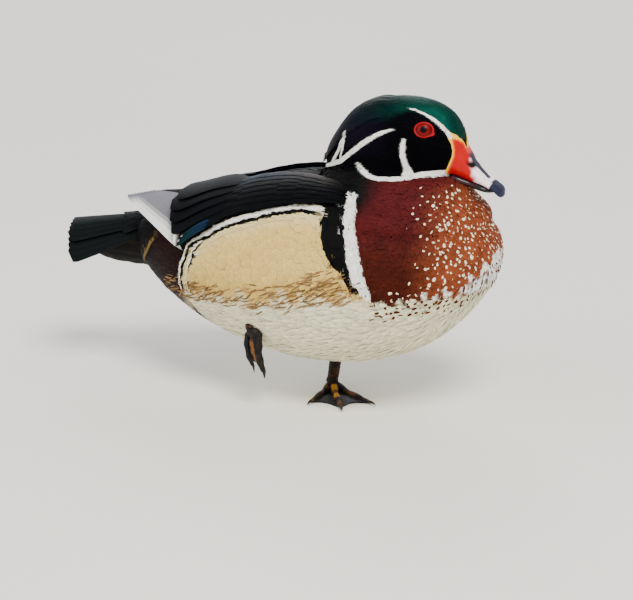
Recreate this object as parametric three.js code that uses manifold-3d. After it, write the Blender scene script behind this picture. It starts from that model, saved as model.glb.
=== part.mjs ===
// A drake wood duck, life size, standing on its left foot with the right foot drawn up.
// Millimetres, +X towards the bill, +Y to the bird's left, +Z up. The origin is on the floor
// under the shank of the standing leg.
import * as THREE from 'three';
import { mergeVertices } from 'three/addons/utils/BufferGeometryUtils.js';
import Module from 'manifold-3d';

const wasm = await Module();
wasm.setup();

// Driving dimensions
const touchGap = 0.3; // kept between pieces that meet face to face
const sliver = 0.02; // edges and creases under this are smoothed away
const tailCut = -126; // where the rump ends and the tail begins
const mouthGap = 0.35; // between the upper and lower bill
const eyeRadius = 6.8;
const eyeDepth = 4.9; // from the skin of the cheek to the eye's centre
const eyePlace = new THREE.Vector3(64, 17.2, 191.8); // on the skin of the left cheek
const eyeOutward = new THREE.Vector3(0.22, 0.93, 0.28).normalize();
const underTailPlace = new THREE.Vector3(-153, 0, 93); // the soft mass of coverts under the tail
const underTailSize = new THREE.Vector3(34, 15, 14);
const shankHalfDepth = 3.9;
const shankHalfWidth = 3;
const ankleHeight = 7.5; // where the toes leave the shank
const standingFootTurn = THREE.MathUtils.degToRad(-61);
const standingFootPlace = new THREE.Vector3(-10, 11, 0);
const vaneThickness = 0.65;
const tertialCount = 4;
const primaryCount = 5;
const rectrixPairs = 6;
const seed = 7;

// Outlines of the big forms. Each row is a place along the form from 0 to 1, then where the
// section stands, the heights of its top, widest line and bottom, and its half width.
const torsoRows = [
  [0, -152, 99, 99, 99, 0],
  [0.06, -140, 115, 102, 82, 20],
  [0.14, -122, 123, 103, 64, 32],
  [0.24, -98, 131, 99, 49, 44],
  [0.36, -66, 144, 94, 36, 54],
  [0.48, -29, 154, 89, 28, 60.5],
  [0.58, 4, 156, 87, 27.5, 62.5],
  [0.68, 36, 154, 88, 32.5, 61.5],
  [0.78, 64, 150, 92, 44, 55.5],
  [0.86, 84.5, 143, 97, 60, 46],
  [0.93, 100, 132, 102, 79, 32],
  [0.975, 108.5, 121, 107, 95, 16.5],
  [1, 111, 109, 109, 109, 0],
];
const headRows = [
  [0, -11, 159, 159, 159, 0],
  [0.07, -7.5, 171.5, 163, 153, 6],
  [0.17, -0.6, 184.2, 170, 151, 12],
  [0.3, 10.2, 198, 174, 149.5, 17.5],
  [0.44, 25.3, 206.6, 175, 149, 21.5],
  [0.58, 42, 209.8, 176, 149.5, 22.5],
  [0.71, 57, 209.6, 176, 152, 21],
  [0.82, 70, 206.3, 176, 155.5, 17.5],
  [0.9, 80.2, 199.4, 176, 159, 13.5],
  [0.96, 86, 188.2, 174.5, 164, 9],
  [1, 89.5, 174, 174, 174, 0],
];
const upperBillRows = [
  [0, 74, 176, 176, 176, 0],
  [0.12, 77, 186, 172, 163, 8.5],
  [0.3, 83, 186, 170, 160, 11.4],
  [0.42, 88, 178.8, 168, 158.4, 10.4],
  [0.56, 94, 169.8, 164, 156.4, 9.3],
  [0.7, 101, 162.3, 159.5, 154.4, 8.7],
  [0.83, 107.5, 157.3, 155, 151.6, 8.2],
  [0.93, 112, 154.5, 151.5, 148.6, 5.6],
  [1, 114, 150.5, 150.5, 150.5, 0],
];
const lowerBillRows = [
  [0, 74, 161, 161, 161, 0],
  [0.2, 80, 163, 160, 156, 8.6],
  [0.5, 92, 159, 156.5, 153, 8],
  [0.8, 104, 155, 153, 150.6, 7],
  [1, 110.5, 151.4, 151.4, 151.4, 0],
];
// The neck stands upright, so its rows hold a height, the back, middle and front, and the half width.
const neckRows = [
  [0, 112, 40, 40, 40, 0],
  [0.25, 126, -22, 40, 95, 48],
  [0.6, 148, -10, 42, 90.5, 36],
  [0.85, 160, -2, 42, 82, 25],
  [1, 172, 42, 42, 42, 0],
];

// A smooth curve through the rows, read at a key between the first and the last.
function readRows(rows, key) {
  const last = rows.length - 1;
  const slope = (i, column) =>
    (rows[i + 1][column] - rows[i][column]) / (rows[i + 1][0] - rows[i][0]);
  const tangent = (i, column) => {
    if (i === 0) return slope(0, column);
    if (i === last) return slope(last - 1, column);
    const before = rows[i][0] - rows[i - 1][0];
    const after = rows[i + 1][0] - rows[i][0];
    return (slope(i - 1, column) * after + slope(i, column) * before) / (before + after);
  };
  let i = 0;
  while (i < last - 1 && key > rows[i + 1][0]) i += 1;
  const step = rows[i + 1][0] - rows[i][0];
  const s = (key - rows[i][0]) / step;
  return rows[i].slice(1).map((value, index) => {
    const column = index + 1;
    return (
      (2 * s ** 3 - 3 * s ** 2 + 1) * value +
      (s ** 3 - 2 * s ** 2 + s) * step * tangent(i, column) +
      (3 * s ** 2 - 2 * s ** 3) * rows[i + 1][column] +
      (s ** 3 - s ** 2) * step * tangent(i + 1, column)
    );
  });
}

const signedPower = (value, power) => Math.sign(value) * Math.abs(value) ** power;

// A point on a form that lies along X. turn is 0 at the top and grows towards the bird's right.
function lyingPoint(rows, share, turn, grow = 0, roundness = 2.2) {
  const [x, top, wide, bottom, half] = readRows(rows, share);
  const lift = signedPower(Math.cos(turn), 2 / roundness);
  const reach = signedPower(Math.sin(turn), 2 / roundness);
  const nearEnd = Math.abs(2 * share - 1);
  const past = Math.sign(share - 0.5) * grow * nearEnd ** 4;
  const swell = grow * Math.sqrt(1 - nearEnd ** 8);
  const height = lift > 0 ? top - wide + swell : wide - bottom + swell;
  return new THREE.Vector3(x + past, -(half + swell) * reach, wide + height * lift);
}

// A point on a form that stands along Z. turn is 0 at the front.
function standingPoint(rows, share, turn, grow = 0) {
  const [z, back, middle, front, half] = readRows(rows, share);
  const nearEnd = Math.abs(2 * share - 1);
  const swell = grow * Math.sqrt(1 - nearEnd ** 8);
  const ahead = Math.cos(turn);
  const length = (ahead > 0 ? front - middle : middle - back) + swell;
  return new THREE.Vector3(
    middle + length * ahead,
    (half + swell) * Math.sin(turn),
    z + Math.sign(share - 0.5) * grow * nearEnd ** 4,
  );
}

// A closed skin: a sphere with every vertex set where place(share, turn) says.
function skin(place, around, along) {
  const sphere = new THREE.SphereGeometry(1, around, along);
  const at = sphere.attributes.position;
  const unit = new THREE.Vector3();
  for (let i = 0; i < at.count; i += 1) {
    unit.fromBufferAttribute(at, i);
    const share = Math.acos(THREE.MathUtils.clamp(unit.y, -1, 1)) / Math.PI;
    at.setXYZ(i, ...place(share, Math.atan2(unit.z, unit.x)));
  }
  return sphere;
}

// A closed plate between two faces whose triangles are alike. u runs along it and v across it.
function plate(along, across, over, under) {
  const points = [];
  [over, under].forEach((face) => {
    for (let i = 0; i <= along; i += 1)
      for (let j = 0; j <= across; j += 1) points.push(...face(i / along, j / across));
  });
  const offset = (along + 1) * (across + 1);
  const at = (i, j) => i * (across + 1) + j;
  const faces = [];
  for (let i = 0; i < along; i += 1)
    for (let j = 0; j < across; j += 1) {
      const [a, b, c, d] = [at(i, j), at(i + 1, j), at(i + 1, j + 1), at(i, j + 1)];
      faces.push(a, b, c, a, c, d);
      faces.push(offset + a, offset + c, offset + b, offset + a, offset + d, offset + c);
    }
  const wall = (a, b) => faces.push(a, offset + b, b, a, offset + a, offset + b);
  for (let i = 0; i < along; i += 1) {
    wall(at(i, 0), at(i + 1, 0));
    wall(at(i + 1, across), at(i, across));
  }
  for (let j = 0; j < across; j += 1) {
    wall(at(0, j + 1), at(0, j));
    wall(at(along, j), at(along, j + 1));
  }
  const made = new THREE.BufferGeometry();
  made.setAttribute('position', new THREE.Float32BufferAttribute(points, 3));
  made.setIndex(faces);
  return made;
}

// Six times the volume inside a closed geometry, below zero where it is inside out.
function signedVolume(geometry) {
  const at = geometry.attributes.position;
  const [a, b, c] = [new THREE.Vector3(), new THREE.Vector3(), new THREE.Vector3()];
  let sum = 0;
  for (let i = 0; i < geometry.index.count; i += 3) {
    a.fromBufferAttribute(at, geometry.index.getX(i));
    b.fromBufferAttribute(at, geometry.index.getX(i + 1));
    c.fromBufferAttribute(at, geometry.index.getX(i + 2));
    sum += a.dot(b.cross(c));
  }
  return sum;
}

// The manifold solid of a closed three.js geometry, with its faces turned outwards.
function solid(geometry) {
  const bare = geometry.clone();
  bare.deleteAttribute('normal');
  bare.deleteAttribute('uv');
  const merged = mergeVertices(bare, 1e-4);
  const triVerts = new Uint32Array(merged.index.array);
  if (signedVolume(merged) < 0)
    for (let i = 0; i < triVerts.length; i += 3)
      [triVerts[i + 1], triVerts[i + 2]] = [triVerts[i + 2], triVerts[i + 1]];
  const vertProperties = new Float32Array(merged.attributes.position.array);
  return new wasm.Manifold(new wasm.Mesh({ numProp: 3, vertProperties, triVerts }));
}

// Joins pieces and keeps the largest closed surface of what they make.
function fused(...pieces) {
  const whole = pieces.reduce((sum, piece) => sum.add(piece));
  return largest(whole);
}

function largest(whole) {
  return whole.decompose().sort((a, b) => b.volume() - a.volume())[0];
}

// A named mesh of a solid, without slivers.
function mesh(name, made, material) {
  const { numProp, vertProperties, triVerts } = largest(made.simplify(sliver)).getMesh();
  const points = new Float32Array((vertProperties.length / numProp) * 3);
  for (let i = 0; i < points.length / 3; i += 1)
    points.set(vertProperties.subarray(i * numProp, i * numProp + 3), i * 3);
  const geometry = new THREE.BufferGeometry();
  geometry.setAttribute('position', new THREE.BufferAttribute(points, 3));
  geometry.setIndex(new THREE.BufferAttribute(triVerts, 1));
  geometry.computeVertexNormals();
  const named = new THREE.Mesh(geometry, material);
  named.name = name;
  return named;
}

const finish = (color, roughness, metalness = 0) =>
  new THREE.MeshStandardMaterial({ color, roughness, metalness });
const finishes = {
  body: finish(0xcdb88a, 0.8),
  breast: finish(0x5a1f1c, 0.7),
  crown: finish(0x0d2a24, 0.35, 0.2),
  wing: finish(0x10141c, 0.4, 0.2),
  tail: finish(0x0b0f0f, 0.45, 0.1),
  bill: finish(0xe02a1c, 0.35),
  eye: finish(0xc01420, 0.1),
  leg: finish(0x3a2c18, 0.6),
};

// Big forms
const torsoForm = (grow, around = 32, along = 24) =>
  solid(skin((share, turn) => lyingPoint(torsoRows, share, turn, grow), around, along));
const headForm = (grow, around = 26, along = 20) =>
  solid(skin((share, turn) => lyingPoint(headRows, share, turn, grow), around, along));
const neckForm = (grow) =>
  solid(skin((share, turn) => standingPoint(neckRows, share, turn, grow), 24, 9));

const torsoWhole = torsoForm(0);
const torsoClear = torsoForm(touchGap);
const headClear = headForm(touchGap);
const neckClear = neckForm(touchGap);

// Eyes and lids
// Sets a geometry made round the Y axis at a depth under the cheek's skin, looking outwards.
function setInCheek(geometry, side, depth) {
  const outward = eyeOutward.clone().multiply(new THREE.Vector3(1, side, 1));
  const ahead = new THREE.Vector3(1, 0, -0.12);
  const upward = new THREE.Vector3().crossVectors(ahead, outward).normalize();
  ahead.crossVectors(outward, upward).normalize();
  const place = eyePlace.clone().multiply(new THREE.Vector3(1, side, 1));
  place.addScaledVector(outward, -depth);
  geometry.applyMatrix4(new THREE.Matrix4().makeBasis(ahead, outward, upward));
  geometry.translate(...place);
  return solid(geometry);
}

const eyeball = (side, grow) =>
  setInCheek(new THREE.SphereGeometry(eyeRadius + grow, 14, 10), side, eyeDepth);

// The lids are a raised ring, a little longer than it is high.
function lidRing(side) {
  const profile = [
    [4.6, -3],
    [7.3, -3],
    [7.2, 0.1],
    [6.3, 0.9],
    [5.3, 0.9],
    [4.6, -3],
  ].map(([radius, height]) => new THREE.Vector2(radius, height));
  const ring = new THREE.LatheGeometry(profile, 18);
  ring.scale(1, 1, 0.84);
  return setInCheek(ring, side, 0);
}

function headSolid() {
  let made = headForm(0);
  [1, -1].forEach((side) => {
    made = made.add(lidRing(side)).subtract(eyeball(side, touchGap));
  });
  crestLocks().forEach((lock) => {
    made = made.add(lock);
  });
  return largest(made.subtract(torsoClear));
}

// Bill
const billForm = (rows, around, along) =>
  solid(skin((share, turn) => lyingPoint(rows, share, turn, 0, 2.3), around, along));

function nostrilPit(side) {
  const pit = new THREE.SphereGeometry(1, 12, 8);
  pit.scale(3, 1.4, 1.2);
  pit.rotateY(THREE.MathUtils.degToRad(38));
  pit.translate(93.6, side * 7.4, 169.2);
  return solid(pit);
}

// The horn of the bill reaches up the cheek in a rounded corner on each side.
function billCorner(side) {
  const corner = new THREE.SphereGeometry(1, 12, 8);
  corner.scale(4.4, 1.5, 9.4);
  corner.rotateY(THREE.MathUtils.degToRad(-16));
  corner.rotateZ(side * THREE.MathUtils.degToRad(-35));
  corner.translate(83.4, side * 10, 178);
  return solid(corner);
}

function upperBillSolid() {
  let made = billForm(upperBillRows, 20, 18);
  [1, -1].forEach((side) => {
    made = made.add(billCorner(side)).subtract(nostrilPit(side));
  });
  return largest(made.subtract(headClear).subtract(neckClear));
}

const upperBillDropped = solid(
  skin((share, turn) => lyingPoint(upperBillRows, share, turn, mouthGap, 2.3), 20, 18),
);
const lowerBill = largest(
  billForm(lowerBillRows, 16, 10)
    .subtract(upperBillDropped)
    .subtract(headClear)
    .subtract(neckClear),
);

// Feet
// One toe: a blade-like tube with knuckles along a path from the ankle, flat where it meets the floor.
function toeTube(path, radius, steps = 8) {
  const place = (share, turn) => {
    const point = path.getPoint(share);
    const along = path.getTangent(share);
    const side = new THREE.Vector3(0, 0, 1).cross(along).normalize();
    const lift = along.clone().cross(side).normalize();
    const ends = Math.sqrt(Math.max(0, 1 - (2 * share - 1) ** 8));
    const knuckle = 1 + 0.14 * Math.cos(share * Math.PI * 6);
    const size = radius * (1 - 0.38 * share) * knuckle * ends;
    return point
      .addScaledVector(side, Math.cos(turn) * size)
      .addScaledVector(lift, Math.sin(turn) * size);
  };
  return solid(skin(place, 7, steps));
}

function claw(tip, heading, length, radius) {
  const cone = new THREE.ConeGeometry(radius, length, 6, 1);
  const pointing = new THREE.Vector3(Math.cos(heading), Math.sin(heading), -0.22).normalize();
  cone.applyQuaternion(
    new THREE.Quaternion().setFromUnitVectors(new THREE.Vector3(0, 1, 0), pointing),
  );
  cone.translate(...tip.clone().addScaledVector(pointing, length * 0.3));
  return solid(cone);
}

const webThickness = 1;
const toes = [
  { heading: THREE.MathUtils.degToRad(-31), length: 37, radius: 2.5 },
  { heading: THREE.MathUtils.degToRad(0), length: 47, radius: 2.7 },
  { heading: THREE.MathUtils.degToRad(29), length: 44, radius: 2.5 },
];

// The web between two toes, with its free edge hollowed between the claws.
function web(first, second) {
  const face = (height) => (u, v) => {
    const heading = THREE.MathUtils.lerp(first.heading, second.heading, v);
    const hollow = 1 - 0.16 * Math.sin(Math.PI * v);
    const reach = THREE.MathUtils.lerp(first.length, second.length, v) * 0.93 * hollow;
    const radius = THREE.MathUtils.lerp(3, reach, u);
    return [Math.cos(heading) * radius, Math.sin(heading) * radius, height];
  };
  return solid(plate(6, 4, face(webThickness + 0.15), face(-1)));
}

function standingFoot() {
  const pieces = toes.map(({ heading, length, radius }) => {
    const reach = (share, height) =>
      new THREE.Vector3(Math.cos(heading) * length * share, Math.sin(heading) * length * share, height);
    const path = new THREE.CatmullRomCurve3([
      reach(-0.04, ankleHeight),
      reach(0.12, 4.6),
      reach(0.35, 2.2),
      reach(0.7, 1.8),
      reach(1, 1.4),
    ]);
    return toeTube(path, radius);
  });
  toes.forEach(({ heading, length, radius }) => {
    const tip = new THREE.Vector3(Math.cos(heading) * length, Math.sin(heading) * length, 1.7);
    pieces.push(claw(tip, heading, 6, radius * 0.62));
  });
  pieces.push(web(toes[0], toes[1]), web(toes[1], toes[2]));
  const hind = new THREE.CatmullRomCurve3([
    new THREE.Vector3(1, 0, ankleHeight),
    new THREE.Vector3(-7, -0.6, 3.2),
    new THREE.Vector3(-14.5, -1.6, 0.3),
  ]);
  pieces.push(toeTube(hind, 2.4, 6));
  pieces.push(claw(new THREE.Vector3(-14, -1.6, 0.9), Math.PI, 4.5, 1.1));
  const ankle = new THREE.SphereGeometry(4.4, 10, 7);
  ankle.scale(1.1, 0.9, 1);
  ankle.translate(0.5, 0, ankleHeight - 1);
  pieces.push(solid(ankle));
  return fused(...pieces)
    .trimByPlane([0, 0, 1], 0)
    .rotate([0, 0, THREE.MathUtils.radToDeg(standingFootTurn)])
    .translate(standingFootPlace.toArray());
}

// The shank, from the ankle up into the belly.
function shank(from, to) {
  const path = new THREE.LineCurve3(from, to);
  const place = (share, turn) => {
    const point = path.getPoint(share);
    const ends = Math.sqrt(Math.max(0, 1 - (2 * share - 1) ** 10));
    const flare = 1 + 0.25 * share ** 2;
    return point.add(
      new THREE.Vector3(
        Math.cos(turn) * shankHalfDepth * flare * ends,
        Math.sin(turn) * shankHalfWidth * flare * ends,
        0,
      ),
    );
  };
  return solid(skin(place, 12, 8));
}

const footLeft = standingFoot();
const footLeftClear = footLeft.translate([0, 0, touchGap]);
const shankFoot = standingFootPlace.clone().add(new THREE.Vector3(0, 0, ankleHeight - 3));
const shankTop = standingFootPlace.clone().add(new THREE.Vector3(6.5, -4, 40));
const legLeft = largest(
  shank(shankFoot, shankTop)
    .subtract(footLeftClear)
    .subtract(footLeft)
    .subtract(torsoClear),
);

// The raised foot hangs folded against the flank, its toes together and its webs pleated.
const raisedAnkle = new THREE.Vector3(-45, -51.5, 54);
const raisedToes = [
  { top: [-4.2, 0.4, 0], tip: [-1, 2.5, -29.5], radius: 2.3 },
  { top: [3.6, 0.6, 0.5], tip: [6.8, 2, -32.5], radius: 2.4 },
  { top: [0.4, -1.6, 0], tip: [3.2, -1.5, -24], radius: 2 },
];

function raisedFoot() {
  const pieces = raisedToes.map(({ top, tip, radius }) => {
    const from = raisedAnkle.clone().add(new THREE.Vector3(...top));
    const to = raisedAnkle.clone().add(new THREE.Vector3(...tip));
    const bend = new THREE.Vector3(-1.4, -1.2, 0);
    const path = new THREE.CatmullRomCurve3([
      from,
      from.clone().lerp(to, 0.35).add(bend),
      from.clone().lerp(to, 0.7).add(bend),
      to,
    ]);
    return toeTube(path, radius, 7);
  });
  const pleat = new THREE.SphereGeometry(1, 8, 6);
  pleat.scale(4.6, 2.2, 12);
  pleat.translate(raisedAnkle.x + 0.6, raisedAnkle.y + 0.4, raisedAnkle.z - 12);
  const ankle = new THREE.SphereGeometry(3.9, 9, 6);
  ankle.scale(1.25, 0.9, 0.8);
  ankle.translate(...raisedAnkle);
  pieces.push(solid(pleat), solid(ankle));
  return fused(...pieces);
}

function raisedShankSolid() {
  const path = new THREE.LineCurve3(
    raisedAnkle.clone().add(new THREE.Vector3(-0.5, 0.5, 1)),
    raisedAnkle.clone().add(new THREE.Vector3(-5, 12, 15)),
  );
  return toeTube(path, 4.2, 6);
}

const footRight = largest(raisedFoot().subtract(torsoClear));
const legRight = largest(raisedShankSolid().subtract(torsoClear).subtract(footRight));

// Feathers
// A seeded stream of numbers between 0 and 1.
function numbers(start) {
  let state = start;
  return () => {
    state = (state * 48271) % 2147483647;
    return state / 2147483647;
  };
}
const next = numbers(seed);
const vary = (spread) => (next() - 0.5) * 2 * spread;

// How wide a vane is along its length, as a share of its full width.
const bladeProfile = [
  [0, 0.8],
  [0.24, 0.95],
  [0.66, 1],
  [0.91, 0.82],
  [1, 0.4],
];
const pointedProfile = [
  [0, 1],
  [0.3, 1],
  [0.62, 0.9],
  [0.86, 0.66],
  [1, 0.24],
];
const lockProfile = [
  [0, 0.8],
  [0.24, 1],
  [0.62, 0.85],
  [0.85, 0.5],
  [1, 0.12],
];

// A vane: a thin closed plate over a surface, its two faces a fixed distance apart. The surface
// takes a place along, a place across and a height. The root is sunk, the tip stands free, and
// one edge stands higher by the tilt, so that the next vane can slip under it.
function vane(surface, shape) {
  const { from, to, half, root, low, high, tilt = 0, thick = vaneThickness } = shape;
  const { profile = bladeProfile, folds = 1 } = shape;
  const rise = [
    [0, root],
    [0.24, low],
    [1, high],
  ];
  const face = (depth) => (u, v) => {
    const [share, wide] = profile[Math.round(u * (profile.length - 1))];
    const aside = (v - 0.5) * 2;
    const along = THREE.MathUtils.lerp(from[0], to[0], share);
    const across = THREE.MathUtils.lerp(from[1], to[1], share) + aside * half * wide;
    const [lift] = readRows(rise, share);
    return surface(along, across, lift + (tilt * (aside + 1)) / 2 - depth).toArray();
  };
  return solid(plate(profile.length - 1, folds, face(0), face(thick)));
}

// Wings
// The upper side of a folded wing. back runs from 0 at the shoulder to 1 at the rear, down from
// 0 near the spine to 1 at the flank. These rows hold how far round the body its two rims lie.
const wingUpper = [
  [0, 0.36],
  [0.35, 0.16],
  [0.7, 0.08],
  [1, 0.12],
];
const wingLower = [
  [0, 0.66],
  [0.3, 0.76],
  [0.55, 0.9],
  [0.72, 1.12],
  [0.86, 1.36],
  [1, 1.42],
];
const wingFront = 0.615;
const wingRear = 0.17;
const shieldRise = 1.4;

function wingSurface(side) {
  return (back, down, lift) => {
    const share = THREE.MathUtils.lerp(wingFront, wingRear, back);
    const key = THREE.MathUtils.clamp(back, 0, 1);
    const [upper] = readRows(wingUpper, key);
    const [lower] = readRows(wingLower, key);
    const turn = THREE.MathUtils.lerp(upper, lower, down);
    const point = lyingPoint(torsoRows, share, turn, lift + shieldRise + 1.2 * back);
    point.y *= -side;
    return point;
  };
}

function wingShield(side) {
  const surface = wingSurface(side);
  const face = (outer) => (u, v) => {
    const pinch = Math.sqrt(Math.max(0.03, 1 - Math.abs(2 * u - 1) ** 5));
    const down = 0.5 + (v - 0.5) * pinch;
    const rim = Math.sqrt(Math.max(0.03, 1 - (2 * v - 1) ** 4)) * pinch;
    const lift = outer ? (rim - 1) * shieldRise : -5 - 1.2 * u;
    return surface(u * 0.92, down, lift).toArray();
  };
  return solid(plate(10, 5, face(true), face(false)));
}

// Tiers on the wing: where the roots and tips lie along it, the band they cover and their number.
const wingTiers = [
  { root: 0.03, tip: 0.32, band: [0.04, 0.96], count: 4 },
  { root: 0.27, tip: 0.53, band: [0.04, 0.98], count: 5 },
  { root: 0.49, tip: 0.76, band: [0.06, 0.62], count: 3 },
  { root: 0.5, tip: 0.73, band: [0.66, 1.02], count: 2 },
];

function wingCoverts(side) {
  const made = [];
  wingTiers.forEach(({ root, tip, band, count }) => {
    const pitch = (band[1] - band[0]) / count;
    for (let i = 0; i < count; i += 1) {
      const down = band[0] + (i + 0.5) * pitch;
      const reach = tip + vary(0.014);
      const half = pitch * 0.47;
      const lifts = { root: -1.6, low: 1.2, high: 1.9, folds: 2 };
      made.push(vane(wingSurface(side), { from: [root, down], to: [reach, down], half, ...lifts }));
    }
  });
  return made;
}

// The long inner feathers that close the back, each with its outer edge over the next one.
function tertials(side) {
  const made = [];
  const pitch = 0.96 / tertialCount;
  for (let i = 0; i < tertialCount; i += 1) {
    const down = 0.06 + (i + 0.5) * pitch;
    const tip = 1.05 - 0.022 * i + vary(0.006);
    const lifts = { root: -1.6, low: 1.1, high: 1.7, tilt: 1.35, folds: 2 };
    const shape = { from: [0.71, down], to: [tip, down + 0.02], half: pitch * 0.6 };
    made.push(vane(wingSurface(side), { ...shape, ...lifts }));
  }
  return made;
}

// The flight feathers lie in a fan that crosses over the rump, the outermost longest.
function primarySurface(side) {
  const outerRoot = new THREE.Vector3(-84, 50, 104);
  const innerRoot = new THREE.Vector3(-74, 30, 127);
  const outerTip = new THREE.Vector3(-151, 13, 129);
  const innerTip = new THREE.Vector3(-120, 14, 136);
  return (along, across, lift) => {
    const root = outerRoot.clone().lerp(innerRoot, across);
    const point = root.lerp(outerTip.clone().lerp(innerTip, across), along);
    const bow = 4 * Math.max(0, along * (1 - along)) * 4;
    const away = new THREE.Vector3(-0.05, 0.64, 0.76);
    point.addScaledVector(away, lift + bow);
    point.y *= side;
    return point;
  };
}

function primaries(side) {
  const made = [];
  const pitch = 1 / primaryCount;
  for (let i = 0; i < primaryCount; i += 1) {
    const across = (i + 0.5) * pitch;
    const lifts = { root: -5, low: 0, high: 0, tilt: -1.4, profile: pointedProfile };
    const shape = { from: [0, across], to: [1, across], half: pitch * 0.62 };
    made.push(vane(primarySurface(side), { ...shape, ...lifts }));
  }
  return made;
}

function wingSolid(side) {
  const pieces = [wingShield(side), ...wingCoverts(side), ...tertials(side), ...primaries(side)];
  const whole = pieces.reduce((sum, piece) => sum.add(piece));
  return largest(whole.subtract(torsoClear).subtract(neckClear).subtract(headClear));
}

// Tail
// The tail is a fan bent to a low roof. along runs from the rump to the tips, across from -1 at
// the bird's right to 1 at its left.
function tailSurface(along, across, lift) {
  const heading = across * 0.36;
  const length = 72 + 3 * across ** 2;
  const roof = across * 0.85;
  return new THREE.Vector3(
    -126 - along * length * Math.cos(heading),
    10 * across + along * length * Math.sin(heading) + lift * Math.sin(roof),
    115.5 - 11.5 * along - (9 + 11 * along) * Math.abs(across) ** 1.7 + lift * Math.cos(roof),
  );
}

function rectrices() {
  const made = [];
  const pitch = 1 / rectrixPairs;
  for (let i = -rectrixPairs; i <= rectrixPairs; i += 1) {
    const across = i * pitch;
    const side = Math.sign(i);
    const lifts = { root: -0.6, low: 0, high: 0.2, tilt: 1.4 * side };
    if (i === 0) Object.assign(lifts, { root: 0.6, low: 1.1, high: 1.3 });
    if (i < 0) Object.assign(lifts, { root: 0.8, low: 1.4, high: 1.6 });
    const reach = 1 - 0.012 * (i % 2) + vary(0.006);
    const shape = { from: [0, across], to: [reach, across], half: pitch * 0.64 };
    made.push(vane(tailSurface, { ...shape, ...lifts }));
  }
  return made;
}

// The coverts over and under the roots of the tail feathers.
const tailTiers = [
  { count: 5, root: -0.06, tip: 0.44, lifts: { root: -1, low: 2.6, high: 3.2 }, band: 0.86 },
  { count: 5, root: 0.05, tip: 0.56, lifts: { root: -16, low: -9, high: -3.4 }, band: 0.9 },
];

function tailCoverts() {
  const made = [];
  tailTiers.forEach(({ count, root, tip, lifts, band }) => {
    const pitch = (2 * band) / count;
    for (let i = 0; i < count; i += 1) {
      const across = -band + (i + 0.5) * pitch;
      const reach = tip - 0.06 * across ** 2 + vary(0.012);
      const shape = { from: [root, across * 0.8], to: [reach, across], half: pitch * 0.46 };
      made.push(vane(tailSurface, { ...shape, ...lifts }));
    }
  });
  return made;
}

function underTail() {
  const mass = new THREE.SphereGeometry(1, 22, 16);
  mass.scale(...underTailSize);
  mass.translate(...underTailPlace);
  return solid(mass);
}

function tailSolid() {
  const keep = (piece) => piece.trimByPlane([-1, 0, 0], -tailCut + touchGap);
  const pieces = [torsoForm(0), underTail(), ...rectrices(), ...tailCoverts()].map(keep);
  return largest(pieces.reduce((sum, piece) => sum.add(piece)));
}

// Crest
// The crown seen as a surface: back runs from 0 on the crown to 1 at the nape and on past it.
function crestSurface(back, across, lift) {
  const share = THREE.MathUtils.lerp(0.56, 0.05, Math.min(back, 1));
  const turn = across * THREE.MathUtils.lerp(1, 1.6, Math.min(back, 1));
  const point = lyingPoint(headRows, share, turn, lift, 2.1);
  const past = Math.max(0, back - 1) * 42;
  return point.add(new THREE.Vector3(-0.62 * past, -0.2 * across * past, -0.55 * past));
}

const crestTiers = [
  { count: 5, root: 0.08, tip: 0.66, band: 0.8 },
  { count: 6, root: 0.5, tip: 1.07, band: 0.95 },
];

function crestLocks() {
  const made = [];
  crestTiers.forEach(({ count, root, tip, band }) => {
    const pitch = (2 * band) / count;
    for (let i = 0; i < count; i += 1) {
      const across = -band + (i + 0.5) * pitch;
      const shape = { from: [root, across], to: [tip + vary(0.03), across * 0.96], half: pitch * 0.46 };
      const lifts = { root: -2, low: 0.8, high: 1.1, thick: 0.85, profile: lockProfile };
      made.push(vane(crestSurface, { ...shape, ...lifts }));
    }
  });
  return made;
}

const head = headSolid();
const wings = [1, -1].map((side) => wingSolid(side));
const tail = tailSolid();
const torso = largest(torsoWhole.trimByPlane([1, 0, 0], tailCut).subtract(headClear));
const neck = largest(neckForm(0).subtract(torsoClear).subtract(headClear));
const upperBill = upperBillSolid();

const duck = new THREE.Group();
duck.add(
  mesh('torso', torso, finishes.body),
  mesh('neck', neck, finishes.breast),
  mesh('head', head, finishes.crown),
  mesh('bill_upper', upperBill, finishes.bill),
  mesh('bill_lower', lowerBill, finishes.bill),
  mesh('eye_left', eyeball(1, 0), finishes.eye),
  mesh('eye_right', eyeball(-1, 0), finishes.eye),
  mesh('wing_left', wings[0], finishes.wing),
  mesh('wing_right', wings[1], finishes.wing),
  mesh('tail', tail, finishes.tail),
  mesh('leg_left', legLeft, finishes.leg),
  mesh('foot_left', footLeft, finishes.leg),
  mesh('leg_right', legRight, finishes.leg),
  mesh('foot_right', footRight, finishes.leg),
);

export default duck;
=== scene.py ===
"""A drake wood duck, life size, dressed over its solid parts.

Lengths in the tables are millimetres in the part's own frame: +X to the bill, +Y to the
bird's left, +Z up, the floor at zero. Meshes are set in metres.
"""

from __future__ import annotations

import logging
import math
from dataclasses import dataclass, field
from enum import Enum
from typing import Callable, Sequence

import bmesh
import bpy
import numpy as np
from mathutils import Matrix, Vector
from mathutils.bvhtree import BVHTree


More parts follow.
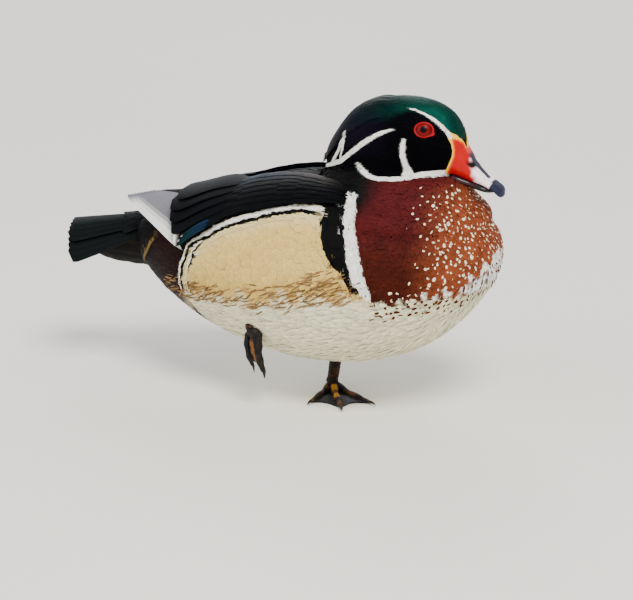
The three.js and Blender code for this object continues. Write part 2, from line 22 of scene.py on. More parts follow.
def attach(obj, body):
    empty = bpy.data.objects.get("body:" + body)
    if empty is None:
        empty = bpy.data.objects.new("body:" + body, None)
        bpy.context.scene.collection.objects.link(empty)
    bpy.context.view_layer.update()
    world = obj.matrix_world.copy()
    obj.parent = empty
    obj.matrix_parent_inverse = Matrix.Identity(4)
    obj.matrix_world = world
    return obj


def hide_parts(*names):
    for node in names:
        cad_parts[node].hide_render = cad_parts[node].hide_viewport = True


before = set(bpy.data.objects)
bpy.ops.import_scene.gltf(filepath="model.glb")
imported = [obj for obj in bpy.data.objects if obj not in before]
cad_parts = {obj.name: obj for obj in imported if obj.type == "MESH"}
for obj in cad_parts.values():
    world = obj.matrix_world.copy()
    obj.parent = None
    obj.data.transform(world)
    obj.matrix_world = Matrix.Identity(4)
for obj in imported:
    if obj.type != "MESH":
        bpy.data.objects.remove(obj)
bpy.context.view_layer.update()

logging.basicConfig(level=logging.INFO, format="%(message)s")
log = logging.getLogger("wood_duck")

MM = 0.001
SEED = 4211
Colour = tuple[float, float, float]
Place = Callable[[np.ndarray, np.ndarray], np.ndarray]


class Side(Enum):
    """The bird's own sides, as the sign of Y."""

    LEFT = 1
    RIGHT = -1


# Outlines of the big forms: place, x, top, widest height, bottom, half width.
TORSO = np.array([
    [0.00, -152, 99, 99, 99, 0], [0.06, -140, 115, 102, 82, 20], [0.14, -122, 123, 103, 64, 32],
    [0.24, -98, 131, 99, 49, 44], [0.36, -66, 144, 94, 36, 54], [0.48, -29, 154, 89, 28, 60.5],
    [0.58, 4, 156, 87, 27.5, 62.5], [0.68, 36, 154, 88, 32.5, 61.5], [0.78, 64, 150, 92, 44, 55.5],
    [0.86, 84.5, 143, 97, 60, 46], [0.93, 100, 132, 102, 79, 32], [0.975, 108.5, 121, 107, 95, 16.5],
    [1.00, 111, 109, 109, 109, 0],
])
HEAD = np.array([
    [0.00, -11, 159, 159, 159, 0], [0.07, -7.5, 171.5, 163, 153, 6], [0.17, -0.6, 184.2, 170, 151, 12],
    [0.30, 10.2, 198, 174, 149.5, 17.5], [0.44, 25.3, 206.6, 175, 149, 21.5],
    [0.58, 42, 209.8, 176, 149.5, 22.5], [0.71, 57, 209.6, 176, 152, 21],
    [0.82, 70, 206.3, 176, 155.5, 17.5], [0.90, 80.2, 199.4, 176, 159, 13.5],
    [0.96, 86, 188.2, 174.5, 164, 9], [1.00, 89.5, 174, 174, 174, 0],
])
# The neck stands upright: place, height, back, middle, front, half width.
NECK = np.array([
    [0.00, 112, 40, 40, 40, 0], [0.25, 126, -22, 40, 98, 48], [0.60, 148, -10, 42, 92, 36],
    [0.85, 160, -2, 42, 82, 25], [1.00, 172, 42, 42, 42, 0],
])
UPPER_BILL = np.array([
    [0.00, 72, 176, 176, 176, 0], [0.12, 76, 187, 172, 163, 8.5], [0.30, 83, 186, 170, 160, 11.4],
    [0.42, 88, 178.8, 168, 158.4, 10.4], [0.56, 94, 169.8, 164, 156.4, 9.3],
    [0.70, 101, 162.3, 159.5, 154.4, 8.7], [0.83, 107.5, 157.3, 155, 151.6, 8.2],
    [0.93, 112, 154.3, 151.2, 147.9, 5.6], [1.00, 114, 149.8, 149.8, 149.8, 0],
])
LOWER_BILL = np.array([
    [0.00, 74, 161, 161, 161, 0], [0.20, 80, 163, 160, 156, 8.6], [0.50, 92, 159, 156.5, 153, 8],
    [0.80, 104, 155, 153, 150.6, 7], [1.00, 110.5, 151.4, 151.4, 151.4, 0],
])


def read_rows(rows: np.ndarray, key: np.ndarray) -> np.ndarray:
    """Reads a smooth curve through rows.

    Args:
        rows: one row per station, its key first.
        key: the places to read.

    Returns:
        The other columns, along a new last axis.
    """
    keys, values = rows[:, 0], rows[:, 1:]
    step = np.diff(keys)
    slope = np.diff(values, axis=0) / step[:, None]
    tangent = np.vstack([
        slope[:1],
        (slope[:-1] * step[1:, None] + slope[1:] * step[:-1, None]) / (step[:-1] + step[1:])[:, None],
        slope[-1:],
    ])
    i = np.clip(np.searchsorted(keys, key, side="right") - 1, 0, len(keys) - 2)
    width = step[i][..., None]
    s = (np.asarray(key)[..., None] - keys[i][..., None]) / width
    return (
        (2 * s**3 - 3 * s**2 + 1) * values[i]
        + (s**3 - 2 * s**2 + s) * width * tangent[i]
        + (3 * s**2 - 2 * s**3) * values[i + 1]
        + (s**3 - s**2) * width * tangent[i + 1]
    )


def signed_power(value: np.ndarray, power: float) -> np.ndarray:
    """A power that keeps its sign."""
    return np.sign(value) * np.abs(value) ** power


def lying_point(
    rows: np.ndarray, share: np.ndarray, turn: np.ndarray, grow: np.ndarray | float = 0.0,
    roundness: float = 2.2,
) -> np.ndarray:
    """Points on a form that lies along X.

    Args:
        rows: the form's stations.
        share: places along it, 0 to 1.
        turn: angle from the top towards the bird's right.
        grow: distance out from the form.
        roundness: 2 for an ellipse, more for a squarer section.

    Returns:
        Points in millimetres along a new last axis.
    """
    share, turn, grow = np.broadcast_arrays(share, turn, grow)
    x, top, wide, bottom, half = np.moveaxis(read_rows(rows, share), -1, 0)
    lift = signed_power(np.cos(turn), 2 / roundness)
    reach = signed_power(np.sin(turn), 2 / roundness)
    near_end = np.clip(np.abs(2 * share - 1), 0, 1)
    swell = grow * np.sqrt(1 - near_end**8)
    height = np.where(lift > 0, top - wide, wide - bottom) + swell
    return np.stack(
        [x + np.sign(share - 0.5) * grow * near_end**4, -(half + swell) * reach, wide + height * lift], -1
    )


def standing_point(rows: np.ndarray, share: np.ndarray, turn: np.ndarray, grow: float = 0.0) -> np.ndarray:
    """Points on a form that stands along Z, with turn 0 at its front."""
    z, back, middle, front, half = np.moveaxis(read_rows(rows, share), -1, 0)
    near_end = np.clip(np.abs(2 * share - 1), 0, 1)
    swell = grow * np.sqrt(1 - near_end**8)
    ahead = np.cos(turn)
    length = np.where(ahead > 0, front - middle, middle - back) + swell
    rise = np.sign(share - 0.5) * grow * near_end**4
    return np.stack([middle + length * ahead, (half + swell) * np.sin(turn), z + rise], -1)


def unit(v: np.ndarray) -> np.ndarray:
    """Vectors at length one."""
    return v / np.maximum(np.linalg.norm(v, axis=-1, keepdims=True), 1e-9)


def ease(value: np.ndarray, low: float, high: float) -> np.ndarray:
    """A smooth step from 0 at low to 1 at high; low may be the larger."""
    t = np.clip((np.asarray(value, float) - low) / (high - low), 0, 1)
    return t * t * (3 - 2 * t)


def srgb(red: int, green: int, blue: int) -> np.ndarray:
    """A screen colour as linear light."""
    c = np.array([red, green, blue]) / 255
    return np.where(c < 0.04045, c / 12.92, ((c + 0.055) / 1.055) ** 2.4)


class Noise:
    """Smooth seeded noise in space, from a sum of waves."""

    def __init__(self, scale: float, seed: int, waves: int = 14) -> None:
        """Sets the waves up.

        Args:
            scale: the size of a patch in millimetres.
            seed: the start of the random stream.
            waves: how many waves are summed.
        """
        rng = np.random.default_rng(seed)
        self.freq = rng.normal(size=(waves, 3)) * (2.2 / scale)
        self.phase = rng.uniform(0, 2 * math.pi, waves)

    def __call__(self, points: np.ndarray) -> np.ndarray:
        """Values of about -1 to 1 at points."""
        total = np.sin(points @ self.freq.T + self.phase).sum(-1)
        return total / math.sqrt(len(self.phase) / 2)


def line_distance(
    points: np.ndarray, line: Sequence[Sequence[float]],
) -> tuple[np.ndarray, np.ndarray, np.ndarray]:
    """How far points lie from a line of straight pieces.

    Args:
        points: two or three columns.
        line: the line's corners.

    Returns:
        The distance, below zero on the right of the line in two columns, the share of the way
        along it, and the way it runs there.
    """
    corners = np.array(line, float)
    best = np.full(points.shape[:-1], 1e9)
    side = np.ones(points.shape[:-1])
    along = np.zeros(points.shape[:-1])
    run = np.zeros(points.shape)
    count = len(corners) - 1
    for i in range(count):
        a, d = corners[i], corners[i + 1] - corners[i]
        rel = points - a
        t = np.clip((rel @ d) / (d @ d), 0, 1)
        gap = np.linalg.norm(rel - t[..., None] * d, axis=-1)
        nearer = gap < best
        best = np.where(nearer, gap, best)
        along = np.where(nearer, (i + t) / count, along)
        run = np.where(nearer[..., None], d / np.linalg.norm(d), run)
        if points.shape[-1] == 2:
            cross = d[0] * rel[..., 1] - d[1] * rel[..., 0]
            side = np.where(nearer, np.where(cross >= 0, 1.0, -1.0), side)
    return best * side, along, run


# Markings, as lines on the bird's side: x and z.
FLANK_TOP = ((14, 139), (9, 140.5), (-6.9, 140.9), (-15.9, 140.1), (-29.5, 137.2), (-43.2, 132.8), (-57.5, 128.1),
             (-68, 123.2), (-76.3, 117.9), (-84, 113), (-89.8, 108.6), (-93.3, 101.8), (-97, 94.2), (-99.5, 86.6),
             (-100.2, 77.5), (-96, 70))
BUFF_LOW = ((-100, 72), (-73, 74), (-49, 73), (-25, 77), (-3, 82), (17, 86), (36, 90))
BAR_REAR = ((30, 92), (24, 102), (17, 108), (10, 117), (7, 125), (6, 133), (9, 141), (14, 146))
BAR_MIDDLE = ((38, 90), (32, 98), (27, 111), (24, 124), (19, 138), (15, 149))
BAR_FRONT = ((44, 90), (38.5, 105), (35, 116), (31, 127), (28, 138), (24, 150))
CHEST_FOOT = ((36, 50, 68, 85, 93, 100, 105, 108, 111), (86, 83, 84, 87, 90, 94, 99, 105, 112))
RUMP_GOLD = ((-121, 107.5), (-124.8, 103), (-130.5, 94.8), (-137, 85.5))
# Markings on the head, in space, on the side where Y counts as positive.
BROW = ((78.6, 11.5, 189), (76.9, 11.6, 191.4), (73, 12, 194.9), (67.9, 12.3, 198.3), (62.7, 12.5, 200.9),
        (56.6, 12.4, 202.9), (50.9, 12.3, 203.9))
REAR_STRIPE = ((46.2, 19.5, 191.3), (42.8, 19.8, 190.5), (37.7, 20.2, 188.7), (32.6, 20.4, 186.2), (27.3, 20.4, 182.8),
               (21.8, 19.8, 178.9), (17, 18.7, 174.9), (11.9, 17, 170.7), (6.4, 14.4, 166.3), (-0.6, 10.2, 162.7),
               (-5, 7.1, 160.7))
CREST_STRIPE = ((10.7, 13.6, 188.6), (9.1, 14.5, 184.4), (7.4, 14.8, 180.1), (4.4, 13.9, 172.8), (1.5, 12.2, 168),
                (-2.4, 9.1, 162.3))
CREST_PRONG = ((9.1, 14.5, 184.4), (8.5, 15.4, 179.4), (7.7, 15.5, 174.3), (6, 14.6, 168.8))
CHEEK_FINGER = ((51.4, 20.3, 184.6), (51, 20.8, 180.7), (50.8, 21, 176.5), (51.6, 20.7, 172.3), (53.1, 19.8, 168),
                (54.1, 18.8, 164.5), (54.3, 19.3, 162.1))
CHIN_STRAP = ((19.6, 18.5, 166.2), (21.4, 18.5, 163.3), (24.9, 20.6, 160.7), (29.8, 24.4, 159), (35.7, 25.8, 158.5),
              (44.4, 25.5, 158.8), (51.6, 23.7, 159.5), (57.4, 20.5, 160.6), (63.1, 17.1, 162), (70.6, 13.6, 163.2),
              (76.2, 11.1, 164))
# The lower edge of the head's plumage: x and the height there.
HEAD_FOOT = ((17, 168), (18.1, 166.4), (19.4, 163), (23.4, 159.9), (28.5, 158.2), (35.4, 157.5), (45, 157.7), (52.3, 158.3),
             (58.1, 159.4), (63.6, 160.6), (70.7, 161.4), (82, 161.5))
# The white lines of the head with their half widths from end to end.
HEAD_LINES = (
    (BROW, (1.1, 1.05, 0.9, 0.75, 0.5, 0.3, 0.1)),
    (REAR_STRIPE, (0.1, 0.6, 1.0, 1.2, 1.3, 1.3, 1.3, 1.3, 1.3, 1.2, 1.0)),
    (CREST_STRIPE, (0.1, 0.7, 0.9, 0.8, 0.8, 0.9)),
    (CREST_PRONG, (0.5, 0.6, 0.5, 0.2)),
    (CHEEK_FINGER, (1.1, 1.4, 1.4, 1.5, 1.9, 2.8, 3.7)),
    (CHIN_STRAP, (1.2, 1.5, 1.5, 1.5, 1.5, 1.7, 1.9, 2.0, 1.9, 1.7, 1.6)),
)


def head_line(p: np.ndarray) -> tuple[np.ndarray, np.ndarray]:
    """The nearest white line of the head.

    Args:
        p: places in millimetres.

    Returns:
        How far inside its edge the places lie, and the way it runs there.
    """
    q = np.stack([p[..., 0], np.abs(p[..., 1]), p[..., 2]], -1)
    inside = np.full(q.shape[:-1], -9.0)
    way = np.zeros_like(q)
    for line, widths in HEAD_LINES:
        gap, along, run = line_distance(q, line)
        depth = np.interp(along, np.linspace(0, 1, len(widths)), widths) - np.abs(gap)
        way = np.where((depth > inside)[..., None], run, way)
        inside = np.maximum(inside, depth)
    return inside, way * np.stack([np.ones_like(inside), np.sign(p[..., 1]), np.ones_like(inside)], -1)


@dataclass(frozen=True)
class Plumage:
    """The plumage's colours, and where each one lies."""

    crown: np.ndarray = field(default_factory=lambda: srgb(3, 60, 50))
    crest: np.ndarray = field(default_factory=lambda: srgb(8, 14, 22))
    face: np.ndarray = field(default_factory=lambda: srgb(5, 5, 8))
    white: np.ndarray = field(default_factory=lambda: srgb(240, 238, 230))
    chest: np.ndarray = field(default_factory=lambda: srgb(70, 18, 19))
    chest_low: np.ndarray = field(default_factory=lambda: srgb(58, 17, 7))
    fleck: np.ndarray = field(default_factory=lambda: srgb(240, 222, 190))
    buff: np.ndarray = field(default_factory=lambda: srgb(217, 185, 106))
    buff_deep: np.ndarray = field(default_factory=lambda: srgb(188, 148, 70))
    belly: np.ndarray = field(default_factory=lambda: srgb(222, 217, 182))
    black: np.ndarray = field(default_factory=lambda: srgb(4, 4, 6))
    mantle: np.ndarray = field(default_factory=lambda: srgb(13, 12, 12))
    rump: np.ndarray = field(default_factory=lambda: srgb(22, 3, 3))
    gold: np.ndarray = field(default_factory=lambda: srgb(108, 88, 50))
    tail: np.ndarray = field(default_factory=lambda: srgb(12, 14, 15))

    def head(self, p: np.ndarray) -> np.ndarray:
        """Linear colours of the head plumage at points in millimetres."""
        q = np.stack([p[..., 0], np.abs(p[..., 1]), p[..., 2]], -1)
        x, y, z = np.moveaxis(q, -1, 0)
        wave = Noise(9, 3)(p)
        crown_line = np.interp(x, [-10, 12, 30, 44, 51, 57, 63, 68, 73, 77, 80, 84], [172, 192, 200, 203, 203.5, 202.8, 201,
                                                                                      198.6, 195.2, 191.6, 188.5, 184])
        soft = np.interp(x, [40, 56], [7, 1.6])
        up = ease(z + wave * 0.5, crown_line - soft, crown_line + 1.5)
        front = ease(x, 8, 46)
        green = self.crown * (0.3 + 0.85 * ease(x, 24, 68))[..., None]
        top = self.crest + (green - self.crest) * front[..., None]
        violet = self.face + (srgb(18, 12, 26) - self.face) * (ease(z, 164, 190) * ease(x, 48, 20))[..., None]
        colour = violet + (top - violet) * up[..., None]
        white = ease(head_line(p)[0] - wave * 0.12, -0.35, 0.35)
        strap = np.interp(x, [20, 28, 36, 46, 56, 66, 78], [160, 157, 156.5, 157, 158.5, 161.5, 163])
        throat = ease(z, strap + 0.5, strap - 0.8) * ease(x, 22, 28) * ease(x, 79, 76)
        white = np.maximum(white, throat)
        return colour + (self.white - colour) * white[..., None]

    def body(self, p: np.ndarray) -> np.ndarray:
        """Linear colours of the body plumage at points in millimetres, with painted light on the front of the chest and
        painted shade on its upper rear.
        """
        flat = np.stack([p[..., 0], p[..., 2]], -1)
        x, z = flat[..., 0], flat[..., 1]
        ragged = Noise(3.2, 5)(p) * 0.35
        broad = Noise(26, 6)(p)
        belly = self.belly * (1 + 0.05 * broad)[..., None]

        below_top = line_distance(flat, FLANK_TOP)[0]
        below_top = np.where(x > 14, 139 - z, below_top) + ragged * 0.5
        above_low = line_distance(flat, BUFF_LOW)[0] + 3 * Noise(7, 8)(p)
        deep = ease(above_low, 22, 2) * 0.75 + 0.12 * broad
        buff = self.buff + (self.buff_deep - self.buff) * np.clip(deep, 0, 1)[..., None]
        pale = ease(below_top, 14, 3) * 0.45
        buff = buff + (self.belly - buff) * pale[..., None]
        colour = belly + (buff - belly) * ease(above_low, -5, 5)[..., None]

        rear = ease(x, -72, -80) * ease(z, 121, 115)
        first = below_top
        second = below_top - np.interp(z, [86, 96, 106, 114], [6.2, 6.0, 4.8, 2.6])
        wide = 2.7 - 1.3 * rear
        white = ease(first, -0.1, 0.3) * ease(first, wide + 0.2, wide - 0.2)
        dark = ease(first, wide - 0.2, wide + 0.2) * ease(first, wide + 2.4 + 0.2 * rear, wide + 1.9 + 0.2 * rear)
        rear = rear * ease(z, 90, 96)
        white = np.maximum(white, rear * ease(second, 0.0, 0.4) * ease(second, 1.5, 1.1))
        dark = np.maximum(dark, rear * ease(second, 1.2, 1.6) * ease(second, 2.7, 2.2))
        edge_on = ease(z, 72, 80) * ease(x, 12, 2)
        colour = colour + (self.white - colour) * (white * edge_on)[..., None]
        colour = colour + (self.black - colour) * (dark * edge_on)[..., None]

        outside = ease(below_top, 0.2, -0.4)
        over = self.black + (self.mantle - self.black) * (ease(x, -20, 24) * ease(z, 134, 150))[..., None]
        rump_on = ease(x, -92, -98) * ease(z, 122, 114)
        rump = self.rump * (0.55 + 0.75 * ease(z, 60, 100) * ease(x, -134, -112))[..., None]
        under = ease(z, 76, 62) * ease(x, -104, -92)
        rump = rump + (belly * np.array([0.9, 0.8, 0.7]) - rump) * under[..., None]
        over = over + (rump - over) * rump_on[..., None]
        stern = ease(x, -122, -130)
        over = over + (self.tail * 0.6 - over) * (stern * ease(z, 60, 70))[..., None]
        colour = colour + (over - colour) * (outside * ease(x, 40, 26))[..., None]
        gold = ease(np.abs(line_distance(flat, RUMP_GOLD)[0]), 1.5, 0.9)
        colour = colour + (self.gold - colour) * gold[..., None]

        past_rear = np.interp(z, [92, 102, 108, 117, 125, 133, 141, 146], [30, 24, 17, 10, 7, 6, 9, 14])
        past_mid = np.interp(z, [90, 98, 111, 124, 138, 149], [38, 32, 27, 24, 19, 15])
        past_front = np.interp(z, [90, 105, 116, 127, 138, 150], [44, 38.5, 35, 31, 28, 24])
        bar_foot = 93 + 1.5 * ragged
        black_bar = ease(x, past_rear - 0.4, past_rear + 0.4) * ease(z, bar_foot, bar_foot + 2)
        colour = colour + (self.black - colour) * black_bar[..., None]
        white_bar = ease(x + ragged, past_mid - 0.4, past_mid + 0.4) * ease(z, bar_foot - 5, bar_foot - 2)
        white_bar = white_bar * ease(z, 149.6, 148.8)
        colour = colour + (self.white - colour) * white_bar[..., None]

        ahead = ease(x + ragged, past_front - 0.4, past_front + 0.4)
        chest_foot = np.interp(x, CHEST_FOOT[0], CHEST_FOOT[1])
        tear = 3.4 * Noise(5, 12)(p) + 1.5
        on_chest = ahead * ease(z, chest_foot - 1 + tear, chest_foot + 1 + tear)
        low = ease(z, 140, 104)
        chest = self.chest + (self.chest_low - self.chest) * low[..., None]
        # Painted light: the front of the chest is painted lighter and warmer.
        painted_light = ease(x, 62, 98) * ease(z, 162, 150)
        chest = chest + (srgb(134, 66, 38) - chest) * (0.85 * painted_light)[..., None]
        chest = chest * (1 + 0.1 * Noise(7, 14)(p))[..., None]
        # Painted shade: the upper rear of the chest, under the head, is painted darker, toward the mantle's colour.
        painted_chest_shade = ease(x, 44, 26) * ease(z, 134, 148)
        chest = chest + (self.mantle - chest) * painted_chest_shade[..., None]
        colour = colour + (chest - colour) * on_chest[..., None]
        return np.clip(colour, 0.002, 1)


PLUMAGE = Plumage()
Value = "Sock | float | int | tuple | bpy.types.NodeSocket"


class Sock:
    """A value inside a material; arithmetic on it adds the nodes it needs."""

    def __init__(self, paint: "Paint", socket: bpy.types.NodeSocket) -> None:
        """Wraps one output socket of a paint's tree."""
        self.paint, self.socket = paint, socket

    def _math(self, operation: str, first: Value, second: Value = 0.0) -> "Sock":
        """Adds one Math node on two values."""
        return self.paint.node("ShaderNodeMath", {"operation": operation}, {0: first, 1: second})

    def __add__(self, other: Value) -> "Sock":
        """self + other."""
        return self._math("ADD", self, other)

    def __sub__(self, other: Value) -> "Sock":
        """self - other."""
        return self._math("SUBTRACT", self, other)

    def __rsub__(self, other: Value) -> "Sock":
        """other - self."""
        return self._math("SUBTRACT", other, self)

    def __mul__(self, other: Value) -> "Sock":
        """self * other."""
        return self._math("MULTIPLY", self, other)

    def __truediv__(self, other: Value) -> "Sock":
        """self / other."""
        return self._math("DIVIDE", self, other)

    def __pow__(self, other: Value) -> "Sock":
        """self ** other."""
        return self._math("POWER", self, other)

    __radd__, __rmul__ = __add__, __mul__

    def size(self) -> "Sock":
        """The value without its sign."""
        return self._math("ABSOLUTE", self)

    def sine(self) -> "Sock":
        """The sine of the value."""
        return self._math("SINE", self)

    def step(self, low: float, high: float) -> "Sock":
        """A smooth step from 0 at low to 1 at high."""
        settings = {"interpolation_type": "SMOOTHSTEP"}
        flip = low > high
        ends = {1: min(low, high), 2: max(low, high), 3: float(flip), 4: float(not flip)}
        return self.paint.node("ShaderNodeMapRange", settings, {0: self, **ends})


class Paint:
    """A material's node tree, filled by short calls."""

    def __init__(self, name: str, **sockets: float | tuple) -> None:
        """Starts a material.

        Args:
            name: the material's name.
            sockets: constants for the shader's sockets, with _ for a space.
        """
        self.material = bpy.data.materials.new(name)
        self.material.use_nodes = True
        self.tree = self.material.node_tree
        self.shader = self.tree.nodes["Principled BSDF"]
        for key, value in sockets.items():
            self.shader.inputs[key.replace("_", " ").title().replace("Ior", "IOR")].default_value = value

    def node(
        self, kind: str, settings: dict | None = None, inputs: dict | None = None, output: int | str = 0,
    ) -> Sock:
        """Adds a node.

        Args:
            kind: the node's type.
            settings: its own settings, which are made first.
            inputs: values or links for its sockets.
            output: which of its outputs comes back.

        Returns:
            That output.
        """
        made = self.tree.nodes.new(kind)
        for key, value in (settings or {}).items():
            setattr(made, key, value)
        for key, value in (inputs or {}).items():
            if isinstance(value, Sock):
                self.tree.links.new(value.socket, made.inputs[key])
            else:
                made.inputs[key].default_value = value
        return Sock(self, made.outputs[output])

    def feed(self, socket: str, value: Sock) -> None:
        """Links a value into the shader."""
        self.tree.links.new(value.socket, self.shader.inputs[socket])

    def mix(self, factor: Value, first: Value, second: Value, blend: str = "MIX") -> Sock:
        """Mixes two colours."""
        settings = {"data_type": "RGBA", "blend_type": blend}
        return self.node("ShaderNodeMix", settings, {0: factor, 6: first, 7: second}, 2)

    def place(self, scale: tuple = (1, 1, 1), turn: tuple = (0, 0, 0)) -> Sock:
        """The place on the object, scaled and turned."""
        spot = self.node("ShaderNodeTexCoord", output="Object")
        return self.node("ShaderNodeMapping", inputs={"Vector": spot, "Scale": scale, "Rotation": turn})

    def noise(self, spot: Sock, scale: float, detail: float = 2.0) -> Sock:
        """Noise of 0 to 1 at a place."""
        return self.node("ShaderNodeTexNoise", inputs={"Vector": spot, "Scale": scale, "Detail": detail})

    def own(self, name: str = "plumage", output: str = "Color") -> Sock:
        """A colour or number kept on the mesh."""
        return self.node("ShaderNodeAttribute", {"attribute_name": name}, output=output)

    def bump(self, height: Sock, strength: float, distance: float) -> None:
        """Lays a relief on the shader's normal; the distance is in millimetres."""
        inputs = {"Height": height, "Strength": strength, "Distance": distance * MM}
        self.feed("Normal", self.node("ShaderNodeBump", inputs=inputs))


@dataclass(frozen=True)
class FeatherFinish:
    """Plumage whose colour is kept on the mesh, with fine barbs across each feather."""

    name: str
    roughness: float = 0.62
    metallic: float = 0.0
    sheen: float = 0.12
    coat: float = 0.0
    specular: float = 0.06
    barbs: float = 40.0
    relief: float = 0.35
    barring: float = 0.0
    mottle: float = 0.22

    def make(self) -> bpy.types.Material:
        """Builds the material."""
        paint = Paint(
            self.name, sheen_weight=self.sheen, sheen_roughness=0.45, coat_weight=self.coat,
            coat_roughness=0.3, specular_ior_level=self.specular,
        )
        spot = paint.place()
        grain = paint.noise(spot, 900.0, 3.0)
        broad = paint.noise(spot, 120.0, 2.0)
        colour = paint.own()
        shade = (grain - 0.5) * self.mottle + (broad - 0.5) * 0.16 + 1.0
        colour = paint.mix(
            1.0, colour, paint.node("ShaderNodeCombineXYZ", inputs={0: shade, 1: shade, 2: shade}), "MULTIPLY"
        )
        if self.barring:
            wobble = paint.noise(spot, 260.0, 2.0)
            across = paint.node("ShaderNodeSeparateXYZ", inputs={0: spot}, output=0)
            wave = (across * 5200.0 + wobble * 26.0).sine().step(-0.1, 0.9)
            amount = wave * paint.own(output="Alpha") * self.barring
            colour = paint.mix(amount, colour, (0.09, 0.062, 0.035, 1))
        quill = paint.node("ShaderNodeSeparateXYZ", inputs={0: paint.node("ShaderNodeUVMap", {"uv_map": "vane"})})
        along = Sock(paint, quill.socket.node.outputs[1])
        aside = (quill - 0.5).size()
        barb = ((along * self.barbs + aside * (self.barbs * 0.5)) * math.tau).sine()
        shaft = aside.step(0.05, 0.01)
        paint.feed("Base Color", colour)
        if self.metallic:
            pale = paint.node("ShaderNodeRGBToBW", inputs={0: paint.own()})
            paint.feed("Metallic", pale.step(0.5, 0.2) * self.metallic)
        paint.feed("Roughness", (grain - 0.5) * 0.18 + self.roughness)
        paint.bump(barb * 0.25 + shaft * 0.8 + grain * 0.8, self.relief, 0.12)
        return paint.material


@dataclass(frozen=True)
class SkinFinish:
    """The close down under the feathers, in the same markings."""

    name: str = "down"

    def make(self) -> bpy.types.Material:
        """Builds the material."""
        paint = Paint(self.name, specular_ior_level=0.04)
        spot = paint.place((1, 2.2, 2.2))
        grain = paint.noise(spot, 1100.0, 3.0)
        shade = grain * 0.5 + 0.62
        grey = paint.node("ShaderNodeCombineXYZ", inputs={0: shade, 1: shade, 2: shade})
        paint.feed("Base Color", paint.mix(1.0, paint.own(), grey, "MULTIPLY"))
        paint.feed("Roughness", grain * 0.2 + 0.6)
        paint.bump(grain, 0.6, 0.25)
        return paint.material


@dataclass(frozen=True)
class HornFinish:
    """Smooth waxy horn, for the bill and the claws."""

    name: str
    roughness: float = 0.3
    coat: float = 0.35

    def make(self) -> bpy.types.Material:
        """Builds the material."""
        paint = Paint(self.name, coat_weight=self.coat, coat_roughness=0.18, specular_ior_level=0.14)
        spot = paint.place((0.6, 1, 1.6))
        grain = paint.noise(spot, 420.0, 4.0)
        fine = paint.noise(paint.place(), 1500.0, 2.0)
        shade = (grain - 0.5) * 0.34 + (fine - 0.5) * 0.12 + 1.0
        grey = paint.node("ShaderNodeCombineXYZ", inputs={0: shade, 1: shade, 2: shade})
        paint.feed("Base Color", paint.mix(1.0, paint.own(), grey, "MULTIPLY"))
        paint.feed("Roughness", (grain - 0.5) * 0.2 + self.roughness)
        paint.bump(grain + fine * 0.4, 0.3, 0.15)
        return paint.material


@dataclass(frozen=True)
class ScaleFinish:
    """Small scutes on the legs, toes and webs."""

    name: str = "leg_scales"

    def make(self) -> bpy.types.Material:
        """Builds the material."""
        paint = Paint(self.name, specular_ior_level=0.2, coat_weight=0.04, coat_roughness=0.35)
        spot = paint.place((1, 1, 1.35))
        cells = {"Vector": spot, "Scale": 760.0}
        plates = paint.node("ShaderNodeTexVoronoi", {"feature": "DISTANCE_TO_EDGE"}, cells)
        grain = paint.noise(spot, 700.0, 3.0)
        groove = plates.step(0.0, 0.16)
        shade = groove * 0.5 + grain * 0.5 + 0.28
        grey = paint.node("ShaderNodeCombineXYZ", inputs={0: shade, 1: shade, 2: shade})
        paint.feed("Base Color", paint.mix(1.0, paint.own(), grey, "MULTIPLY"))
        paint.feed("Roughness", (grain - 0.5) * 0.3 + 0.55)
        paint.bump(groove + grain * 0.5, 0.55, 0.22)
        return paint.material


@dataclass(frozen=True)
class EyeFinish:
    """A wet eye, its colours broken by fine grain."""

    name: str = "eye"

    def make(self) -> bpy.types.Material:
        """Builds the material."""
        paint = Paint(self.name, coat_weight=0.04, coat_roughness=0.05, roughness=0.4, specular_ior_level=0.1)
        grain = paint.noise(paint.place(), 1400.0, 4.0)
        shade = grain * 0.7 + 0.65
        grey = paint.node("ShaderNodeCombineXYZ", inputs={0: shade, 1: shade, 2: shade})
        paint.feed("Base Color", paint.mix(1.0, paint.own(), grey, "MULTIPLY"))
        return paint.material


@dataclass(frozen=True)
class FloorFinish:
    """A plain pale floor."""

    name: str = "pale_floor"

    def make(self) -> bpy.types.Material:
        """Builds the material."""
        paint = Paint(self.name, roughness=0.8, specular_ior_level=0.2)
        grain = paint.noise(paint.place(), 3.0, 3.0)
        paint.feed("Base Color", paint.mix(grain, (0.8, 0.77, 0.7, 1), (0.86, 0.83, 0.77, 1)))
        return paint.material


@dataclass
class Layers:
    """What is kept on a mesh besides its shape, one row per vertex."""

    colours: np.ndarray
    normals: np.ndarray | None = None
    vane: np.ndarray | None = None
    patch: np.ndarray | None = None
    smooth: bool = True


